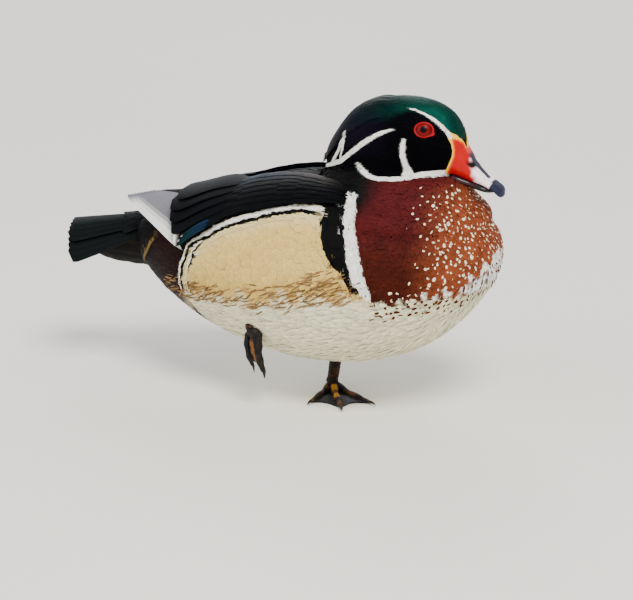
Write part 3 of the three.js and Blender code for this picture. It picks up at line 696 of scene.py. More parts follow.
def piece(
    name: str, points: np.ndarray, triangles: np.ndarray, material: bpy.types.Material, layers: Layers,
) -> bpy.types.Object:
    """Makes an object of triangles that rides on the body.

    Args:
        name: the object's name.
        points: vertices in millimetres.
        triangles: three vertex numbers a row.
        material: its finish.
        layers: colours and maps for its vertices.

    Returns:
        The object.
    """
    mesh = bpy.data.meshes.new(name)
    count, faces = len(points), len(triangles)
    mesh.vertices.add(count)
    mesh.vertices.foreach_set("co", (points * MM).astype(np.float32).ravel())
    mesh.loops.add(faces * 3)
    corners = triangles.astype(np.int32).ravel()
    mesh.loops.foreach_set("vertex_index", corners)
    mesh.polygons.add(faces)
    mesh.polygons.foreach_set("loop_start", np.arange(0, faces * 3, 3, dtype=np.int32))
    mesh.update(calc_edges=True)
    mesh.polygons.foreach_set("use_smooth", np.full(faces, layers.smooth))
    colours = layers.colours
    if colours.shape[1] == 3:
        colours = np.hstack([colours, np.zeros((count, 1))])
    kept = mesh.color_attributes.new("plumage", "FLOAT_COLOR", "POINT")
    kept.data.foreach_set("color", colours.astype(np.float32).ravel())
    for title, flat in (("OFBake", layers.patch), ("vane", layers.vane)):
        if flat is not None:
            made = mesh.uv_layers.new(name=title)
            made.data.foreach_set("uv", flat[corners].astype(np.float32).ravel())
    mesh.materials.append(material)
    if layers.normals is not None:
        mesh.normals_split_custom_set_from_vertices(layers.normals.astype(np.float32).tolist())
    made = bpy.data.objects.new(name, mesh)
    bpy.context.scene.collection.objects.link(made)
    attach(made, "root")
    log.info("%s: %d triangles", name, faces)
    return made


def sphere_grid(around: int, along: int) -> tuple[bmesh.types.BMesh, np.ndarray, np.ndarray]:
    """A closed ball to shape into a form.

    Args:
        around: corners round it.
        along: stations from end to end.

    Returns:
        The ball, and each vertex's share along and turn round.
    """
    bm = bmesh.new()
    bmesh.ops.create_uvsphere(bm, u_segments=around, v_segments=along, radius=1.0)
    co = np.array([v.co for v in bm.verts])
    share = np.arccos(np.clip(co[:, 2], -1, 1)) / math.pi
    return bm, share, np.arctan2(co[:, 1], co[:, 0])


def shaped(around: int, along: int, place: Place) -> bmesh.types.BMesh:
    """A closed form from a ball, its faces outward.

    Args:
        around: corners round it.
        along: stations from end to end.
        place: where a share and a turn lie, in millimetres.

    Returns:
        The form, in millimetres.
    """
    bm, share, turn = sphere_grid(around, along)
    for vert, co in zip(bm.verts, place(share, turn)):
        vert.co = co
    bmesh.ops.recalc_face_normals(bm, faces=bm.faces)
    if bm.calc_volume(signed=True) < 0:
        bmesh.ops.reverse_faces(bm, faces=bm.faces)
    return bm


def arrays(bm: bmesh.types.BMesh) -> tuple[np.ndarray, np.ndarray]:
    """Vertices and triangles of a mesh under work."""
    bmesh.ops.triangulate(bm, faces=bm.faces)
    bm.verts.index_update()
    points = np.array([v.co for v in bm.verts])
    return points, np.array([[v.index for v in f.verts] for f in bm.faces])


def fused(forms: Sequence[bmesh.types.BMesh], cell: float, rounds: int = 3) -> bmesh.types.BMesh:
    """Melts closed forms into one seamless surface.

    Args:
        forms: closed forms in millimetres; they are used up.
        cell: the size of its faces.
        rounds: how often it is smoothed.

    Returns:
        One closed surface, in millimetres.
    """
    whole = bpy.data.meshes.new("clay")
    bm = bmesh.new()
    for form in forms:
        part = bpy.data.meshes.new("lump")
        form.to_mesh(part)
        bm.from_mesh(part)
        bpy.data.meshes.remove(part)
        form.free()
    bm.to_mesh(whole)
    bm.free()
    holder = bpy.data.objects.new("clay", whole)
    bpy.context.scene.collection.objects.link(holder)
    remesh = holder.modifiers.new("melt", "REMESH")
    remesh.mode, remesh.voxel_size = "VOXEL", cell
    made = bmesh.new()
    made.from_object(holder, bpy.context.evaluated_depsgraph_get())
    bpy.data.objects.remove(holder)
    bpy.data.meshes.remove(whole)
    for _ in range(rounds):
        bmesh.ops.smooth_vert(made, verts=made.verts, factor=0.5, use_axis_x=True, use_axis_y=True, use_axis_z=True)
    return made


def vertex_normals(points: np.ndarray, triangles: np.ndarray) -> np.ndarray:
    """Outward normals at the vertices of a surface."""
    a, b, c = (points[triangles[:, i]] for i in range(3))
    flat = np.cross(b - a, c - a)
    total = np.zeros_like(points)
    for i in range(3):
        np.add.at(total, triangles[:, i], flat)
    return unit(total)


def horn_line(p: np.ndarray) -> np.ndarray:
    """How far points lie in front of the line where feathers meet the bill."""
    x, y, z = p[..., 0], np.abs(p[..., 1]), p[..., 2]
    low = np.interp(
        z, [150, 163, 165.9, 170.4, 174.7, 178.8, 183, 187, 188.8], [75.5, 76.8, 78, 79.9, 81.5, 81.8, 80.9, 78.8, 78.6]
    )
    high = np.interp(y, [0, 3.2, 7.5, 9.8, 11.4, 13], [88.6, 86.9, 84.7, 81.9, 79, 77])
    return x - np.where(z > 179, np.maximum(low, high), low)


class Body:
    """The seamless skin of head, neck and body, and the ground its feathers grow on."""

    def __init__(self, cell: float = 1.6) -> None:
        """Melts the forms and keeps the surface.

        Args:
            cell: the size of its faces in millimetres.
        """
        torso = shaped(96, 64, lambda s, t: lying_point(TORSO, s, t, -1.1))
        neck = shaped(72, 40, lambda s, t: standing_point(NECK, s, t, -1.0))
        head = shaped(80, 64, lambda s, t: lying_point(HEAD, s, t, -0.9))
        ground = [BVHTree.FromBMesh(form) for form in (torso, neck, head)]
        made = fused([torso, neck, head], cell, 4)
        crease = [
            v for v in made.verts
            if 146 < v.co.z < 172 and abs(ground[2].find_nearest(v.co)[3] - ground[1].find_nearest(v.co)[3]) < 5
        ]
        for _ in range(14):
            bmesh.ops.smooth_vert(made, verts=crease, factor=0.5, use_axis_x=True, use_axis_y=True, use_axis_z=True)
        self.points, self.triangles = arrays(made)
        made.free()
        self.normals = vertex_normals(self.points, self.triangles)
        gaps = np.array([[tree.find_nearest(p)[3] for p in self.points] for tree in ground])
        near_head = np.minimum(gaps[0], gaps[1]) - gaps[2] > 0
        self.headness = (near_head | self._over_strap(self.points)).astype(float)
        for _ in range(2):
            self.normals = self._spread(self.normals)
        self.normals = unit(self.normals)
        self.tree = BVHTree.FromPolygons(self.points.tolist(), self.triangles.tolist())
        self.face_normals = unit(self.normals[self.triangles].sum(1))
        self.face_head = self.headness[self.triangles].mean(1) > 0.5

    @staticmethod
    def _over_strap(p: np.ndarray) -> np.ndarray:
        """Whether points lie above the lower edge of the head's plumage."""
        foot = np.array(HEAD_FOOT)
        return (p[:, 0] > 17) & (p[:, 2] > np.interp(p[:, 0], foot[:, 0], foot[:, 1]))

    def _spread(self, values: np.ndarray) -> np.ndarray:
        """Averages values with those of neighbouring vertices."""
        total = values * 2.0
        weight = np.full(len(values), 2.0)
        for i in range(3):
            a, b = self.triangles[:, i], self.triangles[:, (i + 1) % 3]
            np.add.at(total, a, values[b])
            np.add.at(weight, a, 1.0)
        return total / weight[:, None]

    def nearest(self, points: np.ndarray) -> tuple[np.ndarray, np.ndarray, np.ndarray]:
        """The skin nearest to points.

        Args:
            points: rows of millimetres.

        Returns:
            Places on the skin, outward normals there, and whether each is on the head.
        """
        found = [self.tree.find_nearest(p)[:3:2] for p in points]
        faces = np.array([f[1] for f in found])
        return np.array([f[0] for f in found]), self.face_normals[faces], self.face_head[faces]

    def scatter(
        self, count: int, rng: np.random.Generator, where: Place,
    ) -> tuple[np.ndarray, np.ndarray, np.ndarray]:
        """Random places spread evenly over a region.

        Args:
            count: how many there would be on the whole skin.
            rng: the random stream.
            where: above zero in the region.

        Returns:
            The places, the normals there, and whether each is on the head.
        """
        a, b, c = corners = [self.points[self.triangles[:, i]] for i in range(3)]
        heads = self.face_head.astype(float)
        free = np.max([where(spot, heads) for spot in (*corners, (a + b + c) / 3)], axis=0) > 0
        size = np.linalg.norm(np.cross(b - a, c - a), axis=1)
        area = size * free
        count = int(count * area.sum() / size.sum())
        pick = rng.choice(len(area), count, p=area / area.sum())
        u, v = rng.random(count), rng.random(count)
        over = u + v > 1
        u, v = np.where(over, 1 - u, u)[:, None], np.where(over, 1 - v, v)[:, None]
        places = a[pick] * (1 - u - v) + b[pick] * u + c[pick] * v
        return places, self.face_normals[pick], self.face_head[pick]

    def dress(self) -> bpy.types.Object:
        """Makes the skin itself, in the plumage's markings painted a fifth darker as shade under the feathers."""
        head = self.headness[:, None] > 0.5
        colours = np.where(head, PLUMAGE.head(self.points), PLUMAGE.body(self.points))
        # Painted shade: the down's colours are darkened by a fifth.
        made = piece("skin", self.points, self.triangles, SkinFinish().make(), Layers(colours * 0.8))
        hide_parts("torso", "neck", "head")
        return made


def thinned(places: np.ndarray, spacing: float) -> np.ndarray:
    """Keeps places that lie at least a spacing apart, in their order.

    Args:
        places: rows of millimetres.
        spacing: the least distance between two of them.

    Returns:
        The numbers of the rows that are kept.
    """
    cells: dict[tuple[int, int, int], list[int]] = {}
    kept: list[int] = []
    keys = np.floor(places / spacing).astype(int).tolist()
    rows = places.tolist()
    limit = spacing * spacing
    around = [(i, j, k) for i in (-1, 0, 1) for j in (-1, 0, 1) for k in (-1, 0, 1)]
    for index, ((kx, ky, kz), (x, y, z)) in enumerate(zip(keys, rows)):
        clear = True
        for i, j, k in around:
            for other in cells.get((kx + i, ky + j, kz + k), ()):
                ox, oy, oz = rows[other]
                if (x - ox) ** 2 + (y - oy) ** 2 + (z - oz) ** 2 < limit:
                    clear = False
                    break
            if not clear:
                break
        if clear:
            cells.setdefault((kx, ky, kz), []).append(index)
            kept.append(index)
    return np.array(kept, int)


def lie_of_coat(p: np.ndarray, on_head: np.ndarray) -> np.ndarray:
    """The way feathers point at places on the skin, before it is laid on the surface."""
    x, y, z = np.moveaxis(p, -1, 0)
    back = np.stack([-np.ones_like(x), 0.12 * np.sign(y) * ease(x, 90, 60), -0.1 * np.ones_like(x)], -1)
    droop = ease(x, 34, -4) * on_head
    back[:, 2] -= 0.75 * droop + 0.25 * on_head * ease(z, 186, 160) * ease(x, 60, 30)
    down = np.stack([-0.35 * np.ones_like(x), 0.1 * np.sign(y), -np.ones_like(x)], -1)
    frontness = ease(x, 20, 84) * ease(z, 84, 112) * (1 - on_head)
    side = ease(z, 128, 150) * ease(x, 70, 30) * (1 - on_head)
    share = np.clip(frontness * (1 - 0.6 * side), 0, 1)[:, None]
    rim = ease(np.abs(line_distance(np.stack([x, z], -1), FLANK_TOP)[0]), 9, 2) * ease(x, 16, 0) * (1 - on_head)
    guide = back + (down - back) * share
    guide[:, 2] += 0.18 * rim * ease(x, -96, -70)
    return unit(guide)


@dataclass(frozen=True)
class Coat:
    """One kind of small feather over a part of the skin."""

    name: str
    where: Callable[[np.ndarray, np.ndarray], np.ndarray]
    spacing: float
    length: float
    width: float
    lift: float
    finish: FeatherFinish
    slot: str
    rise: float = -0.35
    ridge: float = 0.22
    profile: tuple[float, ...] = (0.5, 1.0, 0.86)
    shares: tuple[float, ...] = (0.0, 0.42, 0.84)
    stray: float = 0.12
    tint: float = 0.08
    bars: float = 0.0
    colour: tuple[float, float, float] | None = None
    candidates: int = 60000
    cup: float = 0.3
    vary: float = 0.2
    by_root: bool = False
    guide: Callable[[np.ndarray, np.ndarray], np.ndarray] = lie_of_coat

    def grow(self, body: Body, seed: int) -> bpy.types.Object:
        """Grows the coat.

        Args:
            body: the skin it grows on.
            seed: the start of its random stream.

        Returns:
            One object of closed feathers.
        """
        rng = np.random.default_rng(SEED + seed)
        places, normals, on_head = body.scatter(self.candidates, rng, self.where)
        chance = np.clip(self.where(places, on_head), 0, 1)
        keep = rng.random(len(places)) < chance
        places, normals, on_head = places[keep], normals[keep], on_head[keep]
        chosen = thinned(places, self.spacing)
        places, normals, on_head = places[chosen], normals[chosen], on_head[chosen].astype(float)
        count = len(places)
        length = self.length * rng.uniform(1 - self.vary, 1 + self.vary, count)
        half = 0.5 * self.width * rng.uniform(1 - self.vary, 1 + self.vary, count)
        high = self.lift * rng.uniform(0.6, 1.35, count)
        sway = rng.normal(0, self.stray, (count, 3))
        shares = (*self.shares, 1.0)
        spots, ups = [places], [normals]
        for before, after in zip(shares[:-1], shares[1:]):
            way = self.guide(spots[-1], on_head) + sway
            way = unit(way - (way * ups[-1]).sum(-1, keepdims=True) * ups[-1])
            spot, up, _ = body.nearest(spots[-1] + way * ((after - before) * length)[:, None])
            spots.append(spot)
            ups.append(unit(up + ups[-1]))
        middles, sides = [], []
        for i, share in enumerate(shares):
            lift = self.rise + (high - self.rise) * share**0.75
            middles.append(spots[i] + ups[i] * lift[:, None])
            ahead = spots[min(i + 1, len(shares) - 1)] - spots[max(i - 1, 0)]
            sides.append(unit(np.cross(ahead, ups[i])))
        return self._dress(body, middles, ups, sides, half, on_head, rng)

    def _dress(
        self, body: Body, middles: list[np.ndarray], ups: list[np.ndarray], sides: list[np.ndarray],
        half: np.ndarray, on_head: np.ndarray, rng: np.random.Generator,
    ) -> bpy.types.Object:
        """Makes the mesh from the stations of all feathers.

        Args:
            body: the skin; not used.
            middles: the shaft's places, station by station, the tip last.
            ups: the skin's normals there.
            sides: the way to each feather's right.
            half: half widths.
            on_head: one for feathers of the head.
            rng: the random stream.

        Returns:
            The object.
        """
        count, stations = len(half), len(middles) - 1
        rows, bends = [], []
        for i in range(stations):
            reach = sides[i] * (half * self.profile[i])[:, None]
            rows += [middles[i] - reach, middles[i] + ups[i] * self.ridge, middles[i] + reach]
            bends += [ups[i] - sides[i] * self.cup, ups[i], ups[i] + sides[i] * self.cup]
        rows.append(middles[-1])
        bends.append(ups[-1])
        per = 3 * stations + 1
        points = np.stack(rows, 1)
        faces = []
        for i in range(stations - 1):
            l, c, r = 3 * i, 3 * i + 1, 3 * i + 2
            nl, nc, nr = l + 3, c + 3, r + 3
            faces += [(l, c, nc), (l, nc, nl), (c, r, nr), (c, nr, nc), (r, l, nl), (r, nl, nr)]
        l, tip = 3 * (stations - 1), per - 1
        faces += [(0, 2, 1), (l, l + 1, tip), (l + 1, l + 2, tip), (l + 2, l, tip)]
        triangles = (np.array(faces)[None] + per * np.arange(count)[:, None, None]).reshape(-1, 3)
        spots = np.stack([m for m in middles[:-1] for _ in range(3)] + [middles[-1]], 1)
        flat = points.reshape(-1, 3)
        if self.colour is None:
            tone = np.where(
                np.repeat(on_head, per)[:, None] > 0.5, PLUMAGE.head(flat), PLUMAGE.body(spots.reshape(-1, 3))
            )
            if self.by_root:
                tone = np.repeat(PLUMAGE.body(spots[:, 0]), per, 0)
        else:
            tone = np.tile(np.array(self.colour), (len(flat), 1))
        # A random tone per feather, times the painted shade at its root.
        shade = np.repeat(rng.normal(1, self.tint, count), per) * np.tile(self._painted_root_shade(stations), count)
        tone = np.clip(tone * shade[:, None], 0, 1)
        across = np.tile(np.append(np.tile([0.0, 0.5, 1.0], stations), 0.5), count)
        along = np.tile(np.append(np.repeat(self.shares, 3), 1.0), count)
        root = spots[:, 0]
        angle = np.arctan2(-root[:, 1], root[:, 2] - np.where(on_head > 0.5, 176, 95))
        unwrap = np.stack([angle / math.tau * 0.98 + 0.5, (root[:, 0] + 160) / 290], -1)
        unwrap = np.where(on_head[:, None] > 0.5, np.stack([unwrap[:, 0], (root[:, 0] + 20) / 115], -1), unwrap)
        patch = np.repeat(unwrap * 0.99 + 0.003, per, 0) + 0.003 * np.stack([across - 0.5, along - 0.5], -1)
        bars = self.bars * self._barred(spots.reshape(-1, 3)) if self.bars else np.zeros(len(flat))
        layers = Layers(
            np.hstack([tone, bars[:, None]]), unit(np.stack(bends, 1).reshape(-1, 3)),
            np.stack([across, along], -1), np.clip(patch, 0.001, 0.999),
        )
        made = piece(self.name, flat, triangles, self.finish.make(), layers)
        return made

    def _painted_root_shade(self, stations: int) -> np.ndarray:
        """How dark each vertex of a feather is painted: painted shade at the root, where feathers overlap, rising to a
        touch over full colour at the tip.
        """
        tone = np.append(np.repeat(np.linspace(0.78, 1.0, stations), 3), 1.04)
        return tone

    def _barred(self, p: np.ndarray) -> np.ndarray:
        """One where the fine barring of the flank shows."""
        flat = np.stack([p[:, 0], p[:, 2]], -1)
        below = np.where(p[:, 0] > 14, 5, line_distance(flat, FLANK_TOP)[0])
        low = line_distance(flat, BUFF_LOW)[0]
        bar = np.interp(p[:, 2], [92, 108, 125, 141], [30, 17, 7, 9])
        return ease(below, 4, 6) * ease(low, -4, 6) * ease(p[:, 0], bar, bar - 3)


def down_of_marks(p: np.ndarray) -> np.ndarray:
    """How far points of the body lie from its crisp markings."""
    flat = np.stack([p[:, 0], p[:, 2]], -1)
    gaps = [np.abs(line_distance(flat, line)[0]) for line in (BAR_REAR, BAR_MIDDLE, BAR_FRONT, RUMP_GOLD)]
    top = line_distance(flat, FLANK_TOP)[0]
    gaps.append(np.abs(top - 2.5) - 2.5)
    return np.minimum.reduce(gaps)


def bare(p: np.ndarray, on_head: np.ndarray) -> np.ndarray:
    """One where feathers may grow: not on the eye, the bill or where the legs come out."""
    eye = np.linalg.norm((np.abs(p * [1, 1, 1]) - [64, 17.2, 191.8]) * [0.82, 1, 1], axis=1)
    legs = np.minimum(
        np.hypot(p[:, 0] + 3.5, p[:, 1] - 7) + 99 * (p[:, 2] > 60),
        np.hypot(p[:, 0] + 50, p[:, 1] + 40) + 99 * (p[:, 2] > 90),
    )
    horn = (horn_line(p) > 0.2) & (on_head > 0.5)
    free = (eye > 5.4) & ~horn & (legs > 3.2)
    return free.astype(float)


def on_head_part(p: np.ndarray, on_head: np.ndarray) -> np.ndarray:
    """One on the head."""
    return on_head * bare(p, on_head)


def face_part(p: np.ndarray, on_head: np.ndarray) -> np.ndarray:
    """One on the front of the head."""
    return on_head_part(p, on_head) * (p[:, 0] > 46)


def nape_part(p: np.ndarray, on_head: np.ndarray) -> np.ndarray:
    """One on the rear of the head."""
    return on_head_part(p, on_head) * (p[:, 0] <= 47.5)


def chest_part(p: np.ndarray, on_head: np.ndarray) -> np.ndarray:
    """One on the chest and neck."""
    bar = np.interp(p[:, 2], [90, 105, 116, 127, 138, 150], [42, 36, 33, 29, 26, 22])
    foot = np.interp(p[:, 0], [36, 54, 75, 97, 112], [84, 84, 89, 98, 110])
    return (1 - on_head) * (p[:, 0] > bar) * (p[:, 2] > foot) * bare(p, on_head)


def belly_part(p: np.ndarray, on_head: np.ndarray) -> np.ndarray:
    """One on the underside."""
    top = np.interp(
        p[:, 0], [-140, -100, -70, -25, 17, 36, 54, 75, 97, 112], [74, 76, 78, 81, 89, 92, 91, 95, 104, 115]
    )
    return (1 - on_head) * (p[:, 2] < top) * bare(p, on_head)


def flank_part(p: np.ndarray, on_head: np.ndarray) -> np.ndarray:
    """One on the sides."""
    flat = np.stack([p[:, 0], p[:, 2]], -1)
    below = np.where(p[:, 0] > 14, 139 - p[:, 2], line_distance(flat, FLANK_TOP)[0])
    low = np.interp(p[:, 0], [-100, -70, -25, 17, 45], [70, 72, 75, 83, 88])
    return (1 - on_head) * (below > 0) * (p[:, 2] > low) * (p[:, 0] < 45) * (p[:, 0] > -99) * bare(p, on_head)


def back_part(p: np.ndarray, on_head: np.ndarray) -> np.ndarray:
    """One on the back, the rump and round the tail."""
    flat = np.stack([p[:, 0], p[:, 2]], -1)
    below = np.where(p[:, 0] > 14, 139 - p[:, 2], line_distance(flat, FLANK_TOP)[0])
    bar = np.interp(p[:, 2], [130, 150], [31, 24])
    return (1 - on_head) * (below < 1) * (p[:, 2] > 66) * (p[:, 0] < bar + 3) * bare(p, on_head)


def down_a_line(way: np.ndarray) -> np.ndarray:
    """The run of a line, turned to point back or down."""
    return way * np.where(way[..., 0] + way[..., 2] > 0, -1.0, 1.0)[..., None]


def line_part(p: np.ndarray, on_head: np.ndarray) -> np.ndarray:
    """One on the white lines of the head."""
    return on_head_part(p, on_head) * (head_line(p)[0] > 0.12)


def line_lie(p: np.ndarray, on_head: np.ndarray) -> np.ndarray:
    """The head's white lines carry feathers that lie along them."""
    return down_a_line(head_line(p)[1])


def trim_lie(p: np.ndarray, on_head: np.ndarray) -> np.ndarray:
    """Feathers beside the body's crisp lines lie along them."""
    flat = np.stack([p[:, 0], p[:, 2]], -1)
    best = np.full(len(p), 99.0)
    way = np.zeros_like(flat)
    for line in (FLANK_TOP, BAR_REAR, BAR_MIDDLE, BAR_FRONT, RUMP_GOLD):
        gap, _, run = line_distance(flat, line)
        near = np.abs(gap - 2.5 * (line is FLANK_TOP))
        way = np.where((near < best)[:, None], run, way)
        best = np.minimum(best, near)
    return down_a_line(np.stack([way[:, 0], np.zeros(len(p)), way[:, 1]], -1))


def trim_part(p: np.ndarray, on_head: np.ndarray) -> np.ndarray:
    """One along the crisp lines of the body."""
    return (1 - on_head) * (down_of_marks(p) < 2.6) * (p[:, 2] > 78) * (p[:, 2] < 148.4) * bare(p, on_head)


def fleck_part(p: np.ndarray, on_head: np.ndarray) -> np.ndarray:
    """How thickly the pale flecks stand on the chest."""
    toward = 0.927 * p[:, 0] - 0.375 * np.abs(p[:, 1])
    edge = np.interp(p[:, 0], CHEST_FOOT[0], CHEST_FOOT[1])
    foot = ease(p[:, 2] - edge, 15, 5) * ease(toward, 26, 58)
    return chest_part(p, on_head) * np.maximum(ease(toward, 40, 94), foot * 0.85) * ease(p[:, 2], 158, 150)


def mottle_part(p: np.ndarray, on_head: np.ndarray) -> np.ndarray:
    """How thickly brown feathers show through the white under the chest."""
    foot = np.interp(p[:, 0], CHEST_FOOT[0], CHEST_FOOT[1])
    near = ease(p[:, 2], foot - 12, foot - 3) * ease(p[:, 2], foot + 5, foot + 1)
    return (1 - on_head) * near * 0.5 * (p[:, 0] > 46) * bare(p, on_head)


def wisp_part(p: np.ndarray, on_head: np.ndarray) -> np.ndarray:
    """How thickly the brown wisps stand along the flank's lower edge."""
    flat = np.stack([p[:, 0], p[:, 2]], -1)
    gap = line_distance(flat, BUFF_LOW)[0]
    high = 8 + 6 * ease(p[:, 0], -20, 4) * ease(p[:, 0], 40, 20)
    near = ease(gap, -5, 2) * ease(gap, high + 6, high - 3)
    heavy = 0.3 + 0.7 * np.maximum(ease(p[:, 0], -24, 14), ease(p[:, 0], -66, -86))
    return (1 - on_head) * near * heavy * (p[:, 0] < 54) * bare(p, on_head)


def wisp_lie(p: np.ndarray, on_head: np.ndarray) -> np.ndarray:
    """The wisps point back and down."""
    guide = lie_of_coat(p, on_head)
    guide[:, 2] -= 0.3
    return unit(guide)


SATIN = FeatherFinish("head_satin", roughness=0.48, metallic=0.85, sheen=0.0, relief=0.25, mottle=0.3)
CHEST = FeatherFinish("chest_plumage", roughness=0.6, sheen=0.0, relief=0.3)
SOFT = FeatherFinish("belly_plumage", roughness=0.75, sheen=0.15, relief=0.3, mottle=0.12)
BARRED = FeatherFinish("flank_plumage", roughness=0.7, sheen=0.0, barring=0.26, relief=0.25, mottle=0.1)
DARK = FeatherFinish("back_plumage", roughness=0.56, metallic=0.3, sheen=0.0, relief=0.4)
CRISP = FeatherFinish("trim_plumage", roughness=0.6, sheen=0.0, relief=0.2, mottle=0.1)
PALE = FeatherFinish("pale_plumage", roughness=0.65, sheen=0.0, relief=0.15, mottle=0.1)

COATS = (
    Coat("plumage_face", face_part, 0.92, 3.4, 1.15, 0.5, SATIN, "head_plumage", rise=-0.2, ridge=0.14,
         profile=(0.5, 1.0, 0.8), stray=0.05, candidates=330000),
    Coat("plumage_nape", nape_part, 0.98, 5.2, 1.2, 0.55, SATIN, "head_plumage", rise=-0.2, ridge=0.16,
         profile=(0.5, 1.0, 0.7), stray=0.05, candidates=330000),
    Coat("plumage_chest", chest_part, 1.5, 5.5, 2.9, 0.95, CHEST, "breast_plumage", rise=-0.15, ridge=0.17, stray=0.06,
         candidates=150000),
    Coat("plumage_belly", belly_part, 2.1, 9.0, 3.6, 0.65, SOFT, "body_plumage", ridge=0.1, profile=(0.5, 1.0, 0.6), stray=0.12,
         candidates=120000),
    Coat("plumage_flank", flank_part, 2.6, 11.0, 5.4, 0.7, BARRED, "body_plumage", rise=-0.3, ridge=0.1,
         profile=(0.55, 1.0, 0.9), stray=0.05, tint=0.025, bars=1.0, cup=0.2, candidates=90000),
    Coat("plumage_back", back_part, 2.4, 11.0, 5.0, 0.9, DARK, "body_plumage", stray=0.06, candidates=90000),
    Coat("plumage_trim", trim_part, 0.86, 4.8, 1.2, 1.3, CRISP, "body_plumage", rise=0.2, ridge=0.1, stray=0.02,
         tint=0.04, by_root=True, candidates=700000, guide=trim_lie),
    Coat("plumage_lines", line_part, 0.62, 3.3, 0.95, 0.95, PALE, "head_plumage", rise=0.15, ridge=0.08, stray=0.02,
         tint=0.04, colour=tuple(PLUMAGE.white), candidates=2000000, guide=line_lie),
    Coat("plumage_flecks", fleck_part, 2.45, 2.5, 1.7, 1.0, PALE, "breast_plumage", rise=0.2, stray=0.3, tint=0.14,
         profile=(0.25, 1.0, 0.8), colour=tuple(PLUMAGE.fleck), candidates=40000, vary=0.5),
    Coat("plumage_mottles", mottle_part, 2.6, 3.0, 1.5, 1.2, PALE, "breast_plumage", rise=0.35, stray=0.3, tint=0.3,
         profile=(0.3, 1.0, 0.8), colour=tuple(srgb(84, 38, 20)), candidates=30000, vary=0.5),
    Coat("plumage_wisps", wisp_part, 1.9, 8.5, 0.85, 1.3, PALE, "body_plumage", rise=0.2, stray=0.2, tint=0.3,
         profile=(0.3, 1.0, 0.7), colour=tuple(srgb(132, 100, 62)), candidates=90000, guide=wisp_lie),
)


@dataclass(frozen=True)
class Quill:
    """One long feather laid on a curved ground, its sizes in the ground's own measures."""

    start: tuple[float, float]
    end: tuple[float, float]
    half: float
    lifts: tuple[float, float, float]
    colour: Callable[[np.ndarray, np.ndarray], np.ndarray]
    tilt: float = 0.0
    thick: float = 0.45
    point: float = 0.0
    ridge: float = 0.14
    cup: float = 0.3
    under: float = 0.7
    square: float = 2.6
    along: int = 13
    across: int = 7


Ground = Callable[[np.ndarray, np.ndarray, np.ndarray], np.ndarray]


def quill_mesh(ground: Ground, quill: Quill, cell: tuple[float, float, float]) -> tuple[np.ndarray, ...]:
    """The shape of one long feather.

    Args:
        ground: turns places along, across and above into millimetres.
        quill: the feather.
        cell: the corner and size of its patch in the bake map.

    Returns:
        Points, triangles, colours, normals, the feather's own map and its bake map.
    """
    s = np.linspace(0, 1, quill.along) ** (0.92 if quill.square < 4 else 0.7)
    t = np.linspace(-1, 1, quill.across)
    blunt = np.clip(1 - ((s - 0.62) / 0.38).clip(0) ** quill.square, 0, 1) ** 0.5
    sharp = np.interp(s, [0, 0.5, 0.8, 1], [1, 0.96, 0.62, 0.0])
    wide = (0.42 + 0.58 * ease(s, 0, 0.3)) * (blunt + (sharp - blunt) * quill.point)
    wide = np.maximum(wide, 0.06)
    keys = np.array([[0, quill.lifts[0]], [0.24, quill.lifts[1]], [1, quill.lifts[2]]], float)
    lift = read_rows(keys, s)[:, 0]
    along = np.interp(s, [0, 1], [quill.start[0], quill.end[0]])[:, None] + np.zeros_like(t)[None]
    across = np.interp(s, [0, 1], [quill.start[1], quill.end[1]])[:, None] + wide[:, None] * t[None] * quill.half
    high = lift[:, None] + quill.tilt * (t[None] + 1) / 2 + quill.ridge * (1 - np.abs(t[None])) ** 2
    rim = 1 - 0.75 * np.maximum(np.abs(t[None]) ** 4, (s[:, None] > 0.97))
    top = ground(along, across, high)
    low = ground(along, across, high - quill.thick * rim - quill.ridge * (1 - np.abs(t[None])) ** 2)
    rows, cols = quill.along, quill.across
    points = np.concatenate([top.reshape(-1, 3), low.reshape(-1, 3)])
    at = np.arange(rows * cols).reshape(rows, cols)
    under = at + rows * cols

    def quads(a: np.ndarray, b: np.ndarray, c: np.ndarray, d: np.ndarray) -> np.ndarray:
        """Two triangles for each set of four corners."""
        flat = [v.reshape(-1) for v in (a, b, c, d)]
        return np.concatenate([np.stack(flat[:3], 1), np.stack([flat[0], flat[2], flat[3]], 1)])

    loop = np.concatenate([at[0, :-1], at[:-1, -1], at[-1, :0:-1], at[:0:-1, 0]])
    nxt = np.roll(loop, -1)
    triangles = np.concatenate([
        quads(at[:-1, :-1], at[:-1, 1:], at[1:, 1:], at[1:, :-1]),
        quads(under[:-1, :-1], under[1:, :-1], under[1:, 1:], under[:-1, 1:]),
        quads(loop, loop + rows * cols, nxt + rows * cols, nxt),
    ])
    inside = points.mean(0)
    a, b, c = (points[triangles[:, i]] - inside for i in range(3))
    if np.einsum("ij,ij->i", a, np.cross(b, c)).sum() < 0:
        triangles = triangles[:, ::-1]
    share, side = np.broadcast_arrays(s[:, None], t[None])
    ahead = ground(along + 0.01, across, high) - ground(along - 0.01, across, high)
    aside = ground(along, across + 0.01, high) - ground(along, across - 0.01, high)
    out = ground(along, across, high + 0.5) - ground(along, across, high - 0.5)
    up = unit(np.cross(ahead, aside))
    up = up * np.sign((up * out).sum(-1, keepdims=True))
    bend = unit(up + unit(aside) * (quill.cup * t[None]**3)[..., None])
    bends = np.concatenate([bend.reshape(-1, 3), -up.reshape(-1, 3)])
    tone = quill.colour(share, side).reshape(-1, 3)
    own = np.stack([(side + 1) / 2, share], -1).reshape(-1, 2)
    x, y, size = cell
    half = np.array([0.46, 0.92]) * size
    patch = own * half + [x, y]
    patch = np.concatenate([patch, patch + [size * 0.5, 0]])
    return points, triangles, np.concatenate([tone, tone * quill.under]), bends, np.concatenate([own, own]), patch


